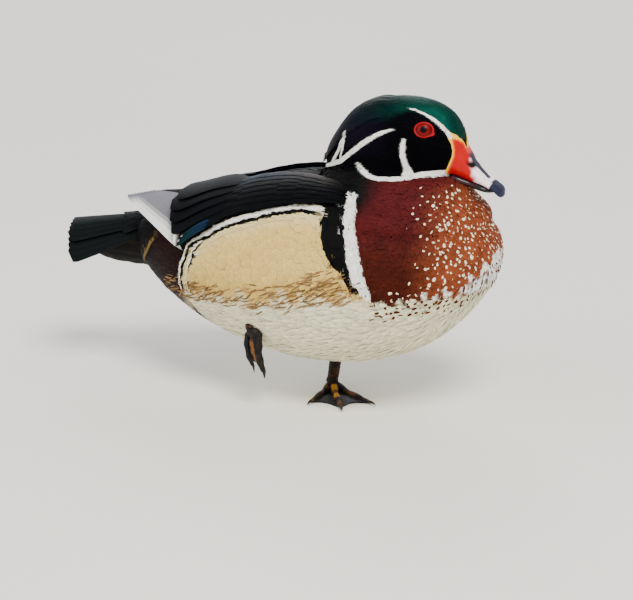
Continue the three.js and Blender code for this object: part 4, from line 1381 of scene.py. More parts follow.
def quill_piece(name: str, quills: Sequence[tuple[Ground, Quill]], finish: FeatherFinish) -> bpy.types.Object:
    """Makes one object of long feathers.

    Args:
        name: the object's name.
        quills: each feather with the ground it lies on.
        finish: its material.

    Returns:
        The object.
    """
    grid = math.ceil(math.sqrt(len(quills)))
    made = []
    start = 0
    for i, (ground, quill) in enumerate(quills):
        cell = ((i % grid) / grid + 0.004, (i // grid) / grid + 0.004, 1 / grid)
        points, triangles, *rest = quill_mesh(ground, quill, cell)
        made.append((points, triangles + start, *rest))
        start += len(points)
    points, triangles, tones, bends, own, patch = (np.concatenate(part) for part in zip(*made))
    return piece(name, points, triangles, finish.make(), Layers(np.clip(tones, 0, 1), bends, own, patch))


WING_UPPER = np.array([[0, 0.36], [0.35, 0.16], [0.7, 0.08], [1, 0.12]])
WING_LOWER = np.array([[0, 0.66], [0.3, 0.76], [0.55, 0.9], [0.72, 1.12], [0.86, 1.36], [1, 1.42]])


@dataclass
class Wing:
    """A folded wing: a shield close on the body, tiers of coverts, tertials and flight feathers."""

    side: Side
    front: float = 0.615
    rear: float = 0.17
    rise: float = 1.4
    tiers: tuple[tuple[float, float, float, float, int], ...] = (
        (-0.02, 0.16, 0.04, 0.96, 7), (0.07, 0.26, 0.03, 0.97, 7), (0.15, 0.36, 0.04, 0.97, 8),
        (0.24, 0.46, 0.03, 0.98, 7), (0.34, 0.57, 0.04, 0.97, 7), (0.44, 0.67, 0.04, 0.96, 6),
        (0.53, 0.79, 0.05, 0.7, 4),
    )
    tertials: int = 5
    primaries: int = 9

    def ground(self, back: np.ndarray, down: np.ndarray, lift: np.ndarray) -> np.ndarray:
        """Places on the wing's upper side: back from the shoulder, down from the spine."""
        back, down, lift = np.broadcast_arrays(back, down, lift)
        share = self.front + (self.rear - self.front) * back
        key = np.clip(back, 0, 1)
        upper, lower = read_rows(WING_UPPER, key)[..., 0], read_rows(WING_LOWER, key)[..., 0]
        point = lying_point(TORSO, share, upper + (lower - upper) * down, lift + self.rise + 1.2 * back)
        return point * [1, -self.side.value, 1]

    def fan(self, along: np.ndarray, across: np.ndarray, lift: np.ndarray) -> np.ndarray:
        """Places on the fan of flight feathers, the outermost at across 0."""
        along, across, lift = (v[..., None] for v in np.broadcast_arrays(along, across, lift))
        root = np.array([-84, 48, 102]) * (1 - across) + np.array([-74, 28, 123]) * across
        tip = np.array([-151, 13, 129]) * (1 - across) + np.array([-131, 10, 133.5]) * across
        point = root + (tip - root) * along
        point = point - np.array([0, 0, 4.0]) * along * (self.side is Side.LEFT)
        bow = 9 * np.maximum(0, along * (1 - along))
        return (point + (lift + bow) * np.array([-0.05, 0.64, 0.76])) * [1, self.side.value, 1]

    def _dark(
        self, rng: np.random.Generator, low: float, rear: float,
    ) -> Callable[[np.ndarray, np.ndarray], np.ndarray]:
        """Colours of one dark, glossy covert, with a painted steel-blue sheen on the upper ones.

        Args:
            rng: the random stream.
            low: how far down the wing it lies, 0 to 1.
            rear: how far back it lies, 0 to 1.

        Returns:
            Its colour by place along and across.
        """
        lean = rng.uniform(0.85, 1.1)
        warm, painted_sheen_colour, black = srgb(40, 34, 30), srgb(44, 54, 76), srgb(5, 6, 8)
        upper = ease(low, 0.42, 0.08)
        # Painted sheen: the upper coverts are painted toward steel blue.
        sheen = upper * ease(rear, 0.1, 0.36) * ease(rear, 0.95, 0.5)
        brown = upper * ease(rear, 0.3, 0.02)

        def tone(share: np.ndarray, side: np.ndarray) -> np.ndarray:
            """The colour at places on it."""
            # Painted light: brighter toward the tip and on one vane; it also sets how strongly the real warm brown
            # shows.
            painted_light = (ease(share, 0.2, 0.8) * (0.5 + 0.5 * ease(side, 0.6, -0.6)))[..., None]
            colour = black * lean + (painted_sheen_colour - black) * (sheen * painted_light * lean) + (warm - black) * (brown * (0.4 + 0.6 * painted_light))
            edge = ease(np.abs(side), 0.7, 1.0)[..., None]
            return colour * (1 - 0.35 * edge)

        return tone

    def _speculum(self, share: np.ndarray, side: np.ndarray) -> np.ndarray:
        """Blue turning green, a black line and a pale tip."""
        blue, green = srgb(20, 38, 62), srgb(10, 38, 42)
        colour = blue + (green - blue) * ease(share, 0.3, 0.8)[..., None]
        dark = ease(share, 0.84, 0.86) * ease(share, 0.94, 0.92)
        colour = colour + (srgb(6, 10, 14) - colour) * dark[..., None]
        return colour + (srgb(226, 222, 190) - colour) * ease(share, 0.93, 0.95)[..., None]

    def _tertial(self, lowest: bool) -> Callable[[np.ndarray, np.ndarray], np.ndarray]:
        """Black with a painted blue gloss on one vane, and a small white corner on the lowest."""
        def tone(share: np.ndarray, side: np.ndarray) -> np.ndarray:
            """The colour at places on it."""
            colour = np.zeros((*share.shape, 3)) + srgb(5, 6, 9)
            # Painted gloss: one vane is painted a lighter blue-black.
            colour = colour + (srgb(15, 17, 24) - colour) * (ease(side, 0.2, -0.9) * ease(share, 0.1, 0.5))[..., None]
            corner = lowest * ease(share, 0.9, 0.94) * ease(side, -0.1, 0.3)
            return colour + (PLUMAGE.white - colour) * corner[..., None]

        return tone

    def _primary(self, across: float) -> Callable[[np.ndarray, np.ndarray], np.ndarray]:
        """Lavender grey, with a white edge on the outermost."""
        def tone(share: np.ndarray, side: np.ndarray) -> np.ndarray:
            """The colour at places on it."""
            colour = srgb(112, 111, 118) * (0.85 + 0.25 * ease(share, 0.3, 0.9))[..., None]
            edge = ease(across, 0.5, 0.15) * ease(side, 0.15, -0.6) * ease(share, 0.99, 0.8)
            colour = colour + (srgb(222, 222, 216) - colour) * edge[..., None]
            return colour + (srgb(84, 82, 94) - colour) * (0.6 * ease(share, 0.9, 1.0))[..., None]

        return tone

    def build(self) -> None:
        """Makes the wing's pieces."""
        rng = np.random.default_rng(SEED + 50)
        tag = self.side.name.lower()
        quills: list[tuple[Ground, Quill]] = []
        for root, tip, top, foot, count in self.tiers:
            pitch = (foot - top) / count
            for i in range(count):
                down = top + (i + 0.5) * pitch + rng.normal(0, 0.006)
                end = tip + rng.normal(0, 0.008)
                tone = self._dark(rng, down, root)
                quills.append((self.ground, Quill(
                    (root, down), (end, down + 0.012), pitch * 0.74, (-1.4, 0.4, 0.8), tone, tilt=0.35, thick=0.4,
                )))
        coverts = quill_piece(f"wing_coverts_{tag}", [self._shield()] + quills,
                              FeatherFinish("wing_gloss", 0.46, 0.4, 0.0, barbs=46, relief=0.3))
        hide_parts(f"wing_{tag}")
        blue = []
        for i in range(3):
            down = 0.93 + 0.045 * i
            blue.append((self.ground, Quill((0.6, down), (0.81 + 0.02 * i, down + 0.02), 0.034,
                                            (0.4, 2.6, 3.0), self._speculum, tilt=0.5, thick=0.4)))
        made = quill_piece(f"wing_speculum_{tag}", blue, FeatherFinish("speculum_gloss", 0.4, 0.6, 0.0, relief=0.3))
        long: list[tuple[Ground, Quill]] = []
        for i in range(self.tertials):
            down = 0.05 + (i + 0.5) * 0.86 / self.tertials
            tip, lift = (0.93, 0.945, 0.925, 0.9, 0.875)[i], (8.0, 6.8, 5.2, 3.6, 2.4)[i]
            lift = lift if self.side is Side.RIGHT else min(lift, 3.2)
            long.append((self.ground, Quill(
                (0.5, down), (tip, down + 0.02), 0.22, (-1.4, 0.8 + 0.3 * lift, lift),
                self._tertial(i == self.tertials - 1), tilt=0.3, thick=0.5, square=9, ridge=0.05, cup=0.1, along=17,
            )))
        made = quill_piece(
            f"wing_tertials_{tag}", long, FeatherFinish("tertial_gloss", 0.5, 0.3, 0.0, barbs=90, relief=0.2)
        )
        fan: list[tuple[Ground, Quill]] = []
        for i in range(self.primaries):
            across = (i + 0.5) / self.primaries
            fan.append((self.fan, Quill(
                (0, across), (1, across), 0.27, (-5, -0.2, 0), self._primary(across),
                tilt=-0.7, under=1.0, thick=0.4, point=0.2, cup=0.1, along=19,
            )))
        made = quill_piece(
            f"wing_primaries_{tag}", fan, FeatherFinish("primary_web", 0.55, 0.0, 0.0, barbs=120, relief=0.4)
        )

    def _shield(self) -> tuple[Ground, Quill]:
        """A dark plate under the coverts, so that nothing shows between them."""
        def black(share: np.ndarray, side: np.ndarray) -> np.ndarray:
            """Its colour."""
            return np.zeros((*share.shape, 3)) + srgb(9, 11, 15)

        return self.ground, Quill(
            (0.0, 0.5), (0.93, 0.5), 0.5, (-0.8, -0.3, -0.4), black, thick=3.5, ridge=0, along=25, across=13
        )


@dataclass
class Tail:
    """The fanned tail with its coverts above and below."""

    pairs: int = 7
    tiers: tuple[tuple[int, float, float, float, float, float], ...] = (
        (9, -0.1, 0.2, 0.8, 2.2, 2.6), (8, 0.0, 0.33, 0.85, 2.2, 2.6), (7, 0.1, 0.46, 0.86, 1.6, 2.2),
    )
    under: tuple[tuple[int, float, float, float, float, float], ...] = ((9, 0.2, 0.8, 0.9, -6, -3.4),)
    soft: tuple[tuple[float, float], ...] = ((-0.12, 0.26), (0.06, 0.44), (0.22, 0.62), (0.4, 0.8), (0.56, 1.0))

    def ground(self, along: np.ndarray, across: np.ndarray, lift: np.ndarray) -> np.ndarray:
        """Places on the tail: along from the rump, across from its right edge at -1."""
        heading, roof = 0.34 * across, 0.85 * across
        length = 72 - 7 * np.abs(across) ** 1.4
        return np.stack([
            -126 - along * length * np.cos(heading),
            10 * across + along * length * np.sin(heading) + lift * np.sin(roof),
            115.5 - 11.5 * along - (9 + 11 * along) * np.abs(across) ** 1.7 + lift * np.cos(roof),
        ], -1)

    def below(self, along: np.ndarray, across: np.ndarray, lift: np.ndarray) -> np.ndarray:
        """Places on the soft mass under the tail, back from the belly and round from its right."""
        along, across, lift = np.broadcast_arrays(along, across, lift)
        rows = np.array([[0, 75, 21], [0.25, 79, 20], [0.5, 79.5, 16.5], [0.75, 81, 13], [1, 87.5, 9]])
        low, half = np.moveaxis(read_rows(rows, np.clip(along, 0, 1)), -1, 0)
        turn = across * 1.5
        return np.stack([
            -118 - 70 * along, (half + lift) * np.sin(turn), 101 - 4 * along - (101 - 4 * along - low + lift) * np.cos(turn),
        ], -1)

    def _tone(self, base: np.ndarray, edge: np.ndarray) -> Callable[[np.ndarray, np.ndarray], np.ndarray]:
        """Colours of one tail feather, from its middle to its edges."""
        def tone(share: np.ndarray, side: np.ndarray) -> np.ndarray:
            """The colour at places on it."""
            return base + (edge - base) * (ease(np.abs(side), 0.5, 1) * 0.7)[..., None]

        return tone

    def build(self) -> None:
        """Makes the tail's pieces."""
        rng = np.random.default_rng(SEED + 60)
        upper, lower = [], []
        glossy = self._tone(srgb(10, 13, 14), srgb(16, 21, 20))
        brown = self._tone(srgb(9, 7, 7), srgb(24, 18, 16))
        for i in range(-self.pairs, self.pairs + 1):
            across, side = 0.84 * i / self.pairs, np.sign(i)
            lifts = (-0.6, 0.0, 0.2) if i > 0 else (0.6, 1.1, 1.3) if i == 0 else (0.8, 1.4, 1.6)
            if abs(i) > self.pairs - 3:
                lifts = (lifts[0] - 0.6, lifts[1] - 1.2, lifts[2] - 1.6)
            upper.append((self.ground, Quill((0, across * 0.96), (1 + rng.normal(0, 0.003), across), 1.8 / self.pairs, lifts,
                                             glossy, tilt=0.6 * side, thick=0.4, square=12, cup=0.15, along=17)))
        for rows, tone, list_ in ((self.tiers, glossy, upper), (self.under, brown, lower)):
            for count, root, tip, band, low, high in rows:
                pitch = 2 * band / count
                for i in range(count):
                    across = -band + (i + 0.5) * pitch
                    reach = tip - 0.06 * across**2 + rng.normal(0, 0.008)
                    list_.append((self.ground, Quill((root, across * 0.8), (reach, across), pitch * 0.6,
                                                     (low - 2, low, high), tone, tilt=0.5, thick=0.5)))
        for root, tip in self.soft:
            for i in range(8):
                across = (i - 3.5) / 4
                end = tip + rng.normal(0, 0.015)
                lower.append((self.below, Quill((root, across), (end, across * 0.94), 0.17, (-2.5, 0.3, 0.9), brown,
                                                tilt=0.3, point=0.4, under=1.0)))
        made = quill_piece("tail_feathers", upper, FeatherFinish("tail_gloss", 0.5, 0.35, 0.0, barbs=100))
        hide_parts("tail")
        made = quill_piece("tail_under", lower, FeatherFinish("tail_under", sheen=0.0, barbs=60))


@dataclass
class Crest:
    """Long silky locks from the crown down over the nape."""

    rows: tuple[tuple[float, float, float, int], ...] = (
        (0.02, 0.4, 0.8, 15), (0.16, 0.56, 0.84, 17), (0.3, 0.72, 0.88, 19), (0.46, 0.88, 0.9, 19),
        (0.6, 1.0, 0.94, 17), (0.72, 1.07, 0.9, 13),
    )

    def ground(self, back: np.ndarray, across: np.ndarray, lift: np.ndarray) -> np.ndarray:
        """Places on the crown, back to 1 at the nape and on past it."""
        back, across, lift = np.broadcast_arrays(back, across, lift)
        near = np.clip(back, -0.2, 1)
        point = lying_point(HEAD, 0.56 - 0.51 * near, across * (1 + 0.6 * near), lift, 2.1)
        past = np.maximum(0, back - 1) * 42
        return point + np.stack([-0.62 * past, -0.2 * across * past, -0.55 * past], -1)

    def build(self) -> None:
        """Makes the crest's locks."""
        rng = np.random.default_rng(SEED + 70)
        locks = []
        for root, tip, band, count in self.rows:
            pitch = 2 * band / count
            for i in range(count):
                across = -band + (i + 0.5) * pitch + rng.normal(0, 0.01)
                end = (tip + rng.normal(0, 0.012), across * rng.uniform(0.93, 1.0))
                start = (root + rng.normal(0, 0.012), across)
                locks.append((self.ground, Quill(start, end, pitch * 0.62, (-0.9, 0.25, 0.5), self._tone(start, end),
                                                 thick=0.5, point=0.55, along=11, across=5)))
        made = quill_piece("plumage_crest", locks, FeatherFinish("crest_satin", 0.46, 0.6, 0.0, barbs=60, relief=0.3))

    def _tone(
        self, start: tuple[float, float], end: tuple[float, float],
    ) -> Callable[[np.ndarray, np.ndarray], np.ndarray]:
        """Colours of one lock, from the head's markings where it lies."""
        def tone(share: np.ndarray, side: np.ndarray) -> np.ndarray:
            """The colour at places on it."""
            along = start[0] + (end[0] - start[0]) * share
            across = start[1] + (end[1] - start[1]) * share
            return PLUMAGE.head(self.ground(along, across, np.zeros_like(along)))

        return tone


@dataclass
class Bill:
    """The painted bill: yellow edge, red base, pale sides, dark ridge and a hooked nail."""

    cell: float = 0.42

    def _margin(self) -> bmesh.types.BMesh:
        """The part of the bill that lies close over the front of the head."""
        form = shaped(80, 72, lambda s, t: lying_point(HEAD, s, t, -0.35))
        geometry = [*form.verts, *form.edges, *form.faces]
        bmesh.ops.bisect_plane(form, geom=geometry, plane_co=(75, 0, 0), plane_no=(1, 0, 0), clear_inner=True)
        bmesh.ops.holes_fill(form, edges=[e for e in form.edges if e.is_boundary])
        return form

    def upper(self) -> bpy.types.Object:
        """Makes the upper bill.

        Returns:
            The object.
        """
        loft = shaped(56, 64, lambda s, t: lying_point(UPPER_BILL, s, t, 0, 2.3))
        made = fused([loft, self._margin()], self.cell, 6)
        points, triangles = arrays(made)
        made.free()
        normals = vertex_normals(points, triangles)
        front = horn_line(points) / np.sqrt(np.clip(1 - normals[:, 0] ** 2, 0.03, 1))
        inward = unit(np.stack([np.zeros(len(points)), -points[:, 1], 174 - points[:, 2]], -1))
        sunk = ease(front, 0.2, -0.9) * 2.2 + ease(front, -0.8, -3.5) * 4
        x, y, z = points[:, 0], np.abs(points[:, 1]), points[:, 2]
        slot = np.stack([(x - 93.4) * 0.86 - (z - 169.3) * 0.5, (x - 93.4) * 0.5 + (z - 169.3) * 0.86, y - 7.2], -1)
        pit = np.exp(-((slot[:, 0] / 2.7) ** 2) - (slot[:, 1] / 1.15) ** 2) * (y > 3)
        nail = ease(x, 105.2, 106.4) * ease(y, 5.2, 4.2) * ease(z, 150, 153)
        groove = np.exp(-(((y - 5.6 + 0.5 * ease(x, 98, 106)) / 0.9) ** 2)) * ease(x, 97, 100) * ease(x, 108, 105)
        points = points + normals * (0.35 * nail - 1.5 * pit - 0.28 * groove)[:, None] + inward * sunk[:, None]
        tone = self._tone(points, front, pit, nail)
        made_ = piece("bill_upper_horn", points, triangles, HornFinish("bill_horn", 0.4, 0.04).make(), Layers(tone))
        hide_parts("bill_upper")
        return made_

    def _tone(self, p: np.ndarray, front: np.ndarray, pit: np.ndarray, nail: np.ndarray) -> np.ndarray:
        """Colours of the upper bill, with painted shade in the nostrils."""
        x, y, z = p[:, 0], np.abs(p[:, 1]), p[:, 2]
        red, pink, rose = srgb(176, 0, 2), srgb(255, 236, 236), srgb(206, 10, 70)
        yellow, slate, dark = srgb(236, 184, 50), srgb(42, 44, 56), srgb(30, 34, 54)
        wave = Noise(4, 21)(p)
        colour = np.zeros_like(p) + red
        paler = ease(x - (z - 168) * -0.12 + wave * 0.6, 91.5, 96.0)
        colour = colour + (pink - colour) * paler[:, None]
        ridge_z = np.interp(x, [84, 88, 94, 101, 107.5, 112], [186, 181, 172.5, 165, 158.8, 155])
        down = ridge_z - z
        gape = np.interp(x, [83, 88, 94, 101, 107.5], [160, 158.4, 156.4, 154.4, 151.6])
        colour = colour + (rose - colour) * (ease(z - gape, 2.8, 0.5) * ease(x, 82, 88) * ease(x, 110, 105))[:, None]
        strip = np.interp(x, [88, 98, 105], [3.8, 3.0, 2.0])
        culmen = ease(x, 87, 91) * ease(x, 104.4, 103) * ease(y + wave * 0.35, strip + 0.4, strip - 0.4) * ease(down, 5, 3)
        colour = colour + (slate - colour) * culmen[:, None]
        colour = colour + (srgb(232, 70, 60) - colour) * (0.6 * ease(x, 91, 89) * ease(y, 5, 3))[:, None]
        breadth = 0.9 + 1.6 * ease(z, 183, 187.5)
        colour = colour + (srgb(226, 84, 14) - colour) * ease(front, breadth + 1.8, breadth + 0.2)[:, None]
        colour = colour + (yellow - colour) * ease(front, breadth + 0.7, breadth - 0.4)[:, None]
        edge = 104.6 + (z - 152) * 0.35
        colour = colour + (dark - colour) * np.maximum(nail, ease(x, edge - 0.4, edge + 0.4))[:, None]
        # Painted shade: the nostril pits are painted near black.
        colour = colour + (srgb(20, 8, 10) - colour) * np.clip(pit * 1.5, 0, 1)[:, None]
        return colour

    def lower(self) -> bpy.types.Object:
        """Makes the lower bill.

        Returns:
            The object.
        """
        form = shaped(48, 56, lambda s, t: lying_point(LOWER_BILL, s, t, -0.05, 2.3))
        points, triangles = arrays(form)
        form.free()
        rose, dark = srgb(44, 16, 22), srgb(16, 16, 22)
        tone = rose + (dark - rose) * ease(points[:, 0], 92, 100)[:, None]
        made = piece("bill_lower_horn", points, triangles, HornFinish("lower_horn").make(), Layers(tone))
        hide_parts("bill_lower")
        return made


@dataclass
class Eye:
    """One eye with its red rim of lids."""

    side: Side
    radius: float = 6.8
    depth: float = 4.6
    place: tuple[float, float, float] = (64.0, 17.2, 191.8)
    outward: tuple[float, float, float] = (0.22, 0.93, 0.28)
    squash: float = 0.84

    def _basis(self) -> tuple[np.ndarray, np.ndarray, np.ndarray, np.ndarray]:
        """The skin point, the way ahead, the way up and the way out of the eye."""
        flip = np.array([1, self.side.value, 1])
        out = unit(np.array(self.outward) * flip)
        up = unit(np.array([0, 0, 1.0]) - out * out[2])
        return np.array(self.place) * flip, np.cross(out, up) * self.side.value, up, out

    def ball(self) -> bpy.types.Object:
        """Makes the eyeball.

        Returns:
            The object.
        """
        skin, ahead, up, out = self._basis()
        centre = skin - out * self.depth
        bm = bmesh.new()
        bmesh.ops.create_uvsphere(bm, u_segments=72, v_segments=48, radius=self.radius)
        points, triangles = arrays(bm)
        bm.free()
        gap = np.hypot(points[:, 0], points[:, 1])
        tone = self._iris(np.where(points[:, 2] > 0, gap, 9))
        world = centre + points[:, :1] * ahead + points[:, 1:2] * up + points[:, 2:] * out
        triangles = self._outward(world, triangles, centre)
        tag = self.side.name.lower()
        made = piece(f"eyeball_{tag}", world, triangles, EyeFinish().make(), Layers(tone))
        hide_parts(f"eye_{tag}")
        return made

    @staticmethod
    def _outward(points: np.ndarray, triangles: np.ndarray, centre: np.ndarray) -> np.ndarray:
        """Triangles turned to face away from a centre."""
        a, b, c = (points[triangles[:, i]] - centre for i in range(3))
        return triangles[:, ::-1] if np.einsum("ij,ij->i", a, np.cross(b, c)).sum() < 0 else triangles

    @staticmethod
    def _iris(gap: np.ndarray) -> np.ndarray:
        """Pupil, deep red iris and a darker rim, by the distance from the middle."""
        pupil, inner, outer, rim = srgb(1, 1, 1), srgb(112, 0, 5), srgb(92, 0, 5), srgb(40, 0, 4)
        colour = inner + (outer - inner) * ease(gap, 2.9, 4.3)[:, None]
        colour = colour + (pupil - colour) * ease(gap, 2.35, 2.1)[:, None]
        return colour + (rim - colour) * ease(gap, 4.6, 5.1)[:, None]

    def lids(self) -> bpy.types.Object:
        """Makes the ring of lids.

        Returns:
            The object.
        """
        skin, ahead, up, out = self._basis()
        bm = bmesh.new()
        ring = bmesh.ops.create_circle(bm, segments=14, radius=1.0)["verts"]
        bmesh.ops.scale(bm, vec=(0.8, 0.62, 1), verts=ring)
        bmesh.ops.rotate(bm, matrix=Matrix.Rotation(math.pi / 2, 3, "X"), verts=ring)
        bmesh.ops.translate(bm, vec=(5.45, 0, 0), verts=ring)
        geometry = [*bm.verts, *bm.edges]
        bmesh.ops.spin(bm, geom=geometry, cent=(0, 0, 0), axis=(0, 0, 1), angle=math.tau, steps=72, use_merge=True)
        bmesh.ops.remove_doubles(bm, verts=bm.verts, dist=0.0001)
        bmesh.ops.recalc_face_normals(bm, faces=bm.faces)
        points, triangles = arrays(bm)
        bm.free()
        turn = np.arctan2(points[:, 1], points[:, 0])
        gap = np.hypot(points[:, 0], points[:, 1])
        corner = 1.3 * np.exp(-((np.angle(np.exp(1j * (turn + 0.5))) / 0.3) ** 2))
        ripple = 0.08 * np.sin(turn * 26) * ease(gap, 5.2, 6.2)
        flat = points * [1.06, self.squash, 1]
        flat = flat + np.stack([np.cos(turn), np.sin(turn), 0 * turn], -1) * (corner * ease(gap, 4.6, 5.6))[:, None]
        tilt = flat[:, 2] + ripple - 0.02 * flat[:, 0] ** 2
        world = skin + flat[:, :1] * ahead + flat[:, 1:2] * up + (tilt - 0.1)[:, None] * out
        a, b, c = (world[triangles[:, i]] for i in range(3))
        if np.einsum("ij,ij->i", a - skin, np.cross(b - skin, c - skin)).sum() < 0:
            triangles = triangles[:, ::-1]
        bright, deep, outer = srgb(160, 0, 10), srgb(96, 0, 6), srgb(44, 0, 4)
        tone = deep + (bright - deep) * ease(gap, 5.0, 5.5)[:, None]
        tone = tone + (outer - tone) * ease(gap, 5.95, 6.2)[:, None]
        tag = self.side.name.lower()
        made = piece(f"eyelids_{tag}", world, triangles, HornFinish("lid_skin", 0.5, 0.05).make(), Layers(tone))
        return made


def tube(path: Sequence[Sequence[float]], radius: Callable[[np.ndarray], np.ndarray], around: int = 24,
         along: int = 44, flat: float = 1.0) -> bmesh.types.BMesh:
    """A closed tube along a smooth path.

    Args:
        path: points the path runs through, in millimetres.
        radius: its radius by share of the way.
        around: corners round it.
        along: stations along it.
        flat: its height against its breadth.

    Returns:
        The tube.
    """
    stops = np.array(path, float)
    rows = np.column_stack([np.linspace(0, 1, len(stops)), stops])

    def place(share: np.ndarray, turn: np.ndarray) -> np.ndarray:
        """Where a share and a turn lie."""
        centre = read_rows(rows, share)
        ahead = unit(read_rows(rows, np.clip(share + 0.01, 0, 1)) - read_rows(rows, np.clip(share - 0.01, 0, 1)))
        side = unit(np.cross(np.array([0.02, 0.0, 1.0]), ahead))
        lift = np.cross(ahead, side)
        size = (radius(share) * np.sqrt(np.clip(1 - (2 * share - 1) ** 8, 0, 1)))[:, None]
        return centre + side * np.cos(turn)[:, None] * size + lift * np.sin(turn)[:, None] * size * flat

    return shaped(around, along, place)


@dataclass
class Foot:
    """A webbed foot: toes with knuckles and scutes, webs and claws."""

    side: Side
    cell: float = 0.5
    place: tuple[float, float, float] = (-10.0, 11.0, 0.0)
    turn: float = math.radians(-61)
    toes: tuple[tuple[float, float, float], ...] = ((-31, 37, 2.5), (0, 47, 2.7), (29, 44, 2.5))

    def _toe_radius(self, size: float) -> Callable[[np.ndarray], np.ndarray]:
        """The radius of a toe along it, with knuckles and scutes."""
        def radius(share: np.ndarray) -> np.ndarray:
            """The radius at shares of the way."""
            knuckle = 1 + 0.13 * np.cos(share * math.pi * 6) + 0.025 * np.sin(share * math.tau * 18)
            return size * (1 - 0.38 * share) * knuckle

        return radius

    def _web(self, first: tuple[float, float, float], second: tuple[float, float, float]) -> bmesh.types.BMesh:
        """The skin between two toes, its free edge hollowed."""
        bm = bmesh.new()
        bmesh.ops.create_grid(bm, x_segments=24, y_segments=16, size=0.5)
        for vert in bm.verts:
            u, v = vert.co.x + 0.5, vert.co.y + 0.5
            heading = math.radians(first[0] + (second[0] - first[0]) * v)
            reach = (first[1] + (second[1] - first[1]) * v) * 0.93 * (1 - 0.16 * math.sin(math.pi * v))
            gap = 3 + (reach - 3) * u
            pleat = 0.22 * math.sin(v * math.pi * 7) * u
            vert.co = (math.cos(heading) * gap, math.sin(heading) * gap, 0.15 + max(pleat, 0) * 0.4)
        bmesh.ops.recalc_face_normals(bm, faces=bm.faces)
        bmesh.ops.solidify(bm, geom=bm.faces[:], thickness=-1.05)
        low = min(v.co.z for v in bm.verts)
        bmesh.ops.translate(bm, vec=(0, 0, -low), verts=bm.verts)
        bmesh.ops.recalc_face_normals(bm, faces=bm.faces)
        return bm

    def _claw(self, tip: np.ndarray, way: np.ndarray, length: float, size: float) -> bmesh.types.BMesh:
        """A curved claw."""
        way = unit(way)
        path = [
            tip - way * length * 0.35, tip + way * length * 0.3 + [0, 0, 0.1],
            tip + way * length * 0.75 - [0, 0, 0.75],
        ]
        return tube(path, lambda s: size * (1 - 0.88 * s), 14, 20)

    def standing(self) -> None:
        """Makes the foot that carries the bird."""
        forms, claws = [], []
        for degrees, length, size in self.toes:
            way = np.array([math.cos(math.radians(degrees)), math.sin(math.radians(degrees)), 0])
            stops = [(-0.04, 7.5), (0.15, 4.3), (0.4, 2.3), (0.7, 1.9), (1.0, 1.5)]
            forms.append(tube([way * length * s + [0, 0, h] for s, h in stops], self._toe_radius(size)))
            claws.append(self._claw(way * length + [0, 0, 1.9], way, 6.5, size * 0.5))
        forms += [self._web(self.toes[0], self.toes[1]), self._web(self.toes[1], self.toes[2])]
        hind = [(1, 0, 7.5), (-7, -0.6, 3.2), (-14.5, -1.6, 1.5)]
        forms.append(tube(hind, self._toe_radius(2.2), 20, 28))
        claws.append(self._claw(np.array([-14.2, -1.6, 1.5]), np.array([-1.0, -0.1, -0.05]), 4.6, 1.0))
        ankle = bmesh.new()
        bmesh.ops.create_uvsphere(ankle, u_segments=32, v_segments=20, radius=4.2)
        bmesh.ops.translate(ankle, vec=(0.5, 0, 6.5), verts=ankle.verts)
        forms.append(ankle)
        self._finish(forms, claws, "left", lambda p: self._stand_tone(p), self._stand)

    def _stand(self, p: np.ndarray) -> np.ndarray:
        """Moves points from the foot's own frame to where it stands."""
        c, s = math.cos(self.turn), math.sin(self.turn)
        x, y = p[:, 0] * c - p[:, 1] * s, p[:, 0] * s + p[:, 1] * c
        return np.stack([x + self.place[0], y + self.place[1], np.maximum(p[:, 2], 0)], -1)

    def _stand_tone(self, p: np.ndarray) -> np.ndarray:
        """Brown toes with ochre spots and dark bands, and black webs."""
        black, ochre, brown = srgb(8, 10, 13), srgb(198, 130, 20), srgb(30, 20, 12)
        reach = np.hypot(p[:, 0], p[:, 1])
        heading = np.degrees(np.arctan2(p[:, 1], p[:, 0]))
        gap = np.min([np.abs(np.radians(heading - a)) * reach for a, _, _ in self.toes], axis=0)
        toe = np.maximum(ease(gap, 2.6, 1.6) * ease(p[:, 2], 1.2, 2.0), ease(p[:, 0], 1, -3))
        spots = np.maximum(ease(np.abs(reach - 13), 4.4, 3.0), ease(np.abs(reach - 25), 5.2, 3.8))
        spots = spots * ease(np.abs(heading), 16, 11)
        skin = brown + (ochre - brown) * np.maximum(spots, 0.2 * ease(Noise(5, 31)(p), 0.1, 0.6))[:, None]
        skin = skin + (black - skin) * (0.7 * (1 - spots) * ease(np.cos(reach * 0.42), -0.3, 0.7))[:, None]
        colour = black * (1 + 0.4 * Noise(3, 32)(p))[:, None]
        return colour + (skin - colour) * toe[:, None]

    def raised(self) -> None:
        """Makes the foot drawn up against the flank, its toes together."""
        ankle = np.array([-41.2, -51.5, 54])
        forms, claws = [], []
        for top, tip, size in (
            ((-4.2, 0.4, 0), (-1.2, 2.5, -24.5), 2.4), ((3.6, 0.6, 0.5), (6.6, 2, -27.5), 3.3),
            ((0.4, -1.6, 0), (3.2, -1.5, -18), 1.9),
        ):
            start, end = ankle + top, ankle + tip
            bend = np.array([-1.4, -1.2, 0])
            forms.append(tube([start, start + (end - start) * 0.35 + bend, start + (end - start) * 0.7 + bend, end],
                              self._toe_radius(size)))
            claws.append(self._claw(end, end - start, 5.0, size * 0.5))
        for fold, size in ((0.0, (4.4, 1.5, 10.0)), (1.4, (3.4, 1.2, 8.5))):
            bm = bmesh.new()
            bmesh.ops.create_uvsphere(bm, u_segments=32, v_segments=24, radius=1.0)
            bmesh.ops.scale(bm, vec=size, verts=bm.verts)
            bmesh.ops.translate(bm, vec=ankle + [0.8 + fold, 0.8 - fold, -11], verts=bm.verts)
            forms.append(bm)
        bm = bmesh.new()
        bmesh.ops.create_uvsphere(bm, u_segments=28, v_segments=18, radius=3.9)
        bmesh.ops.scale(bm, vec=(1.25, 0.9, 0.85), verts=bm.verts)
        bmesh.ops.translate(bm, vec=ankle, verts=bm.verts)
        forms.append(bm)

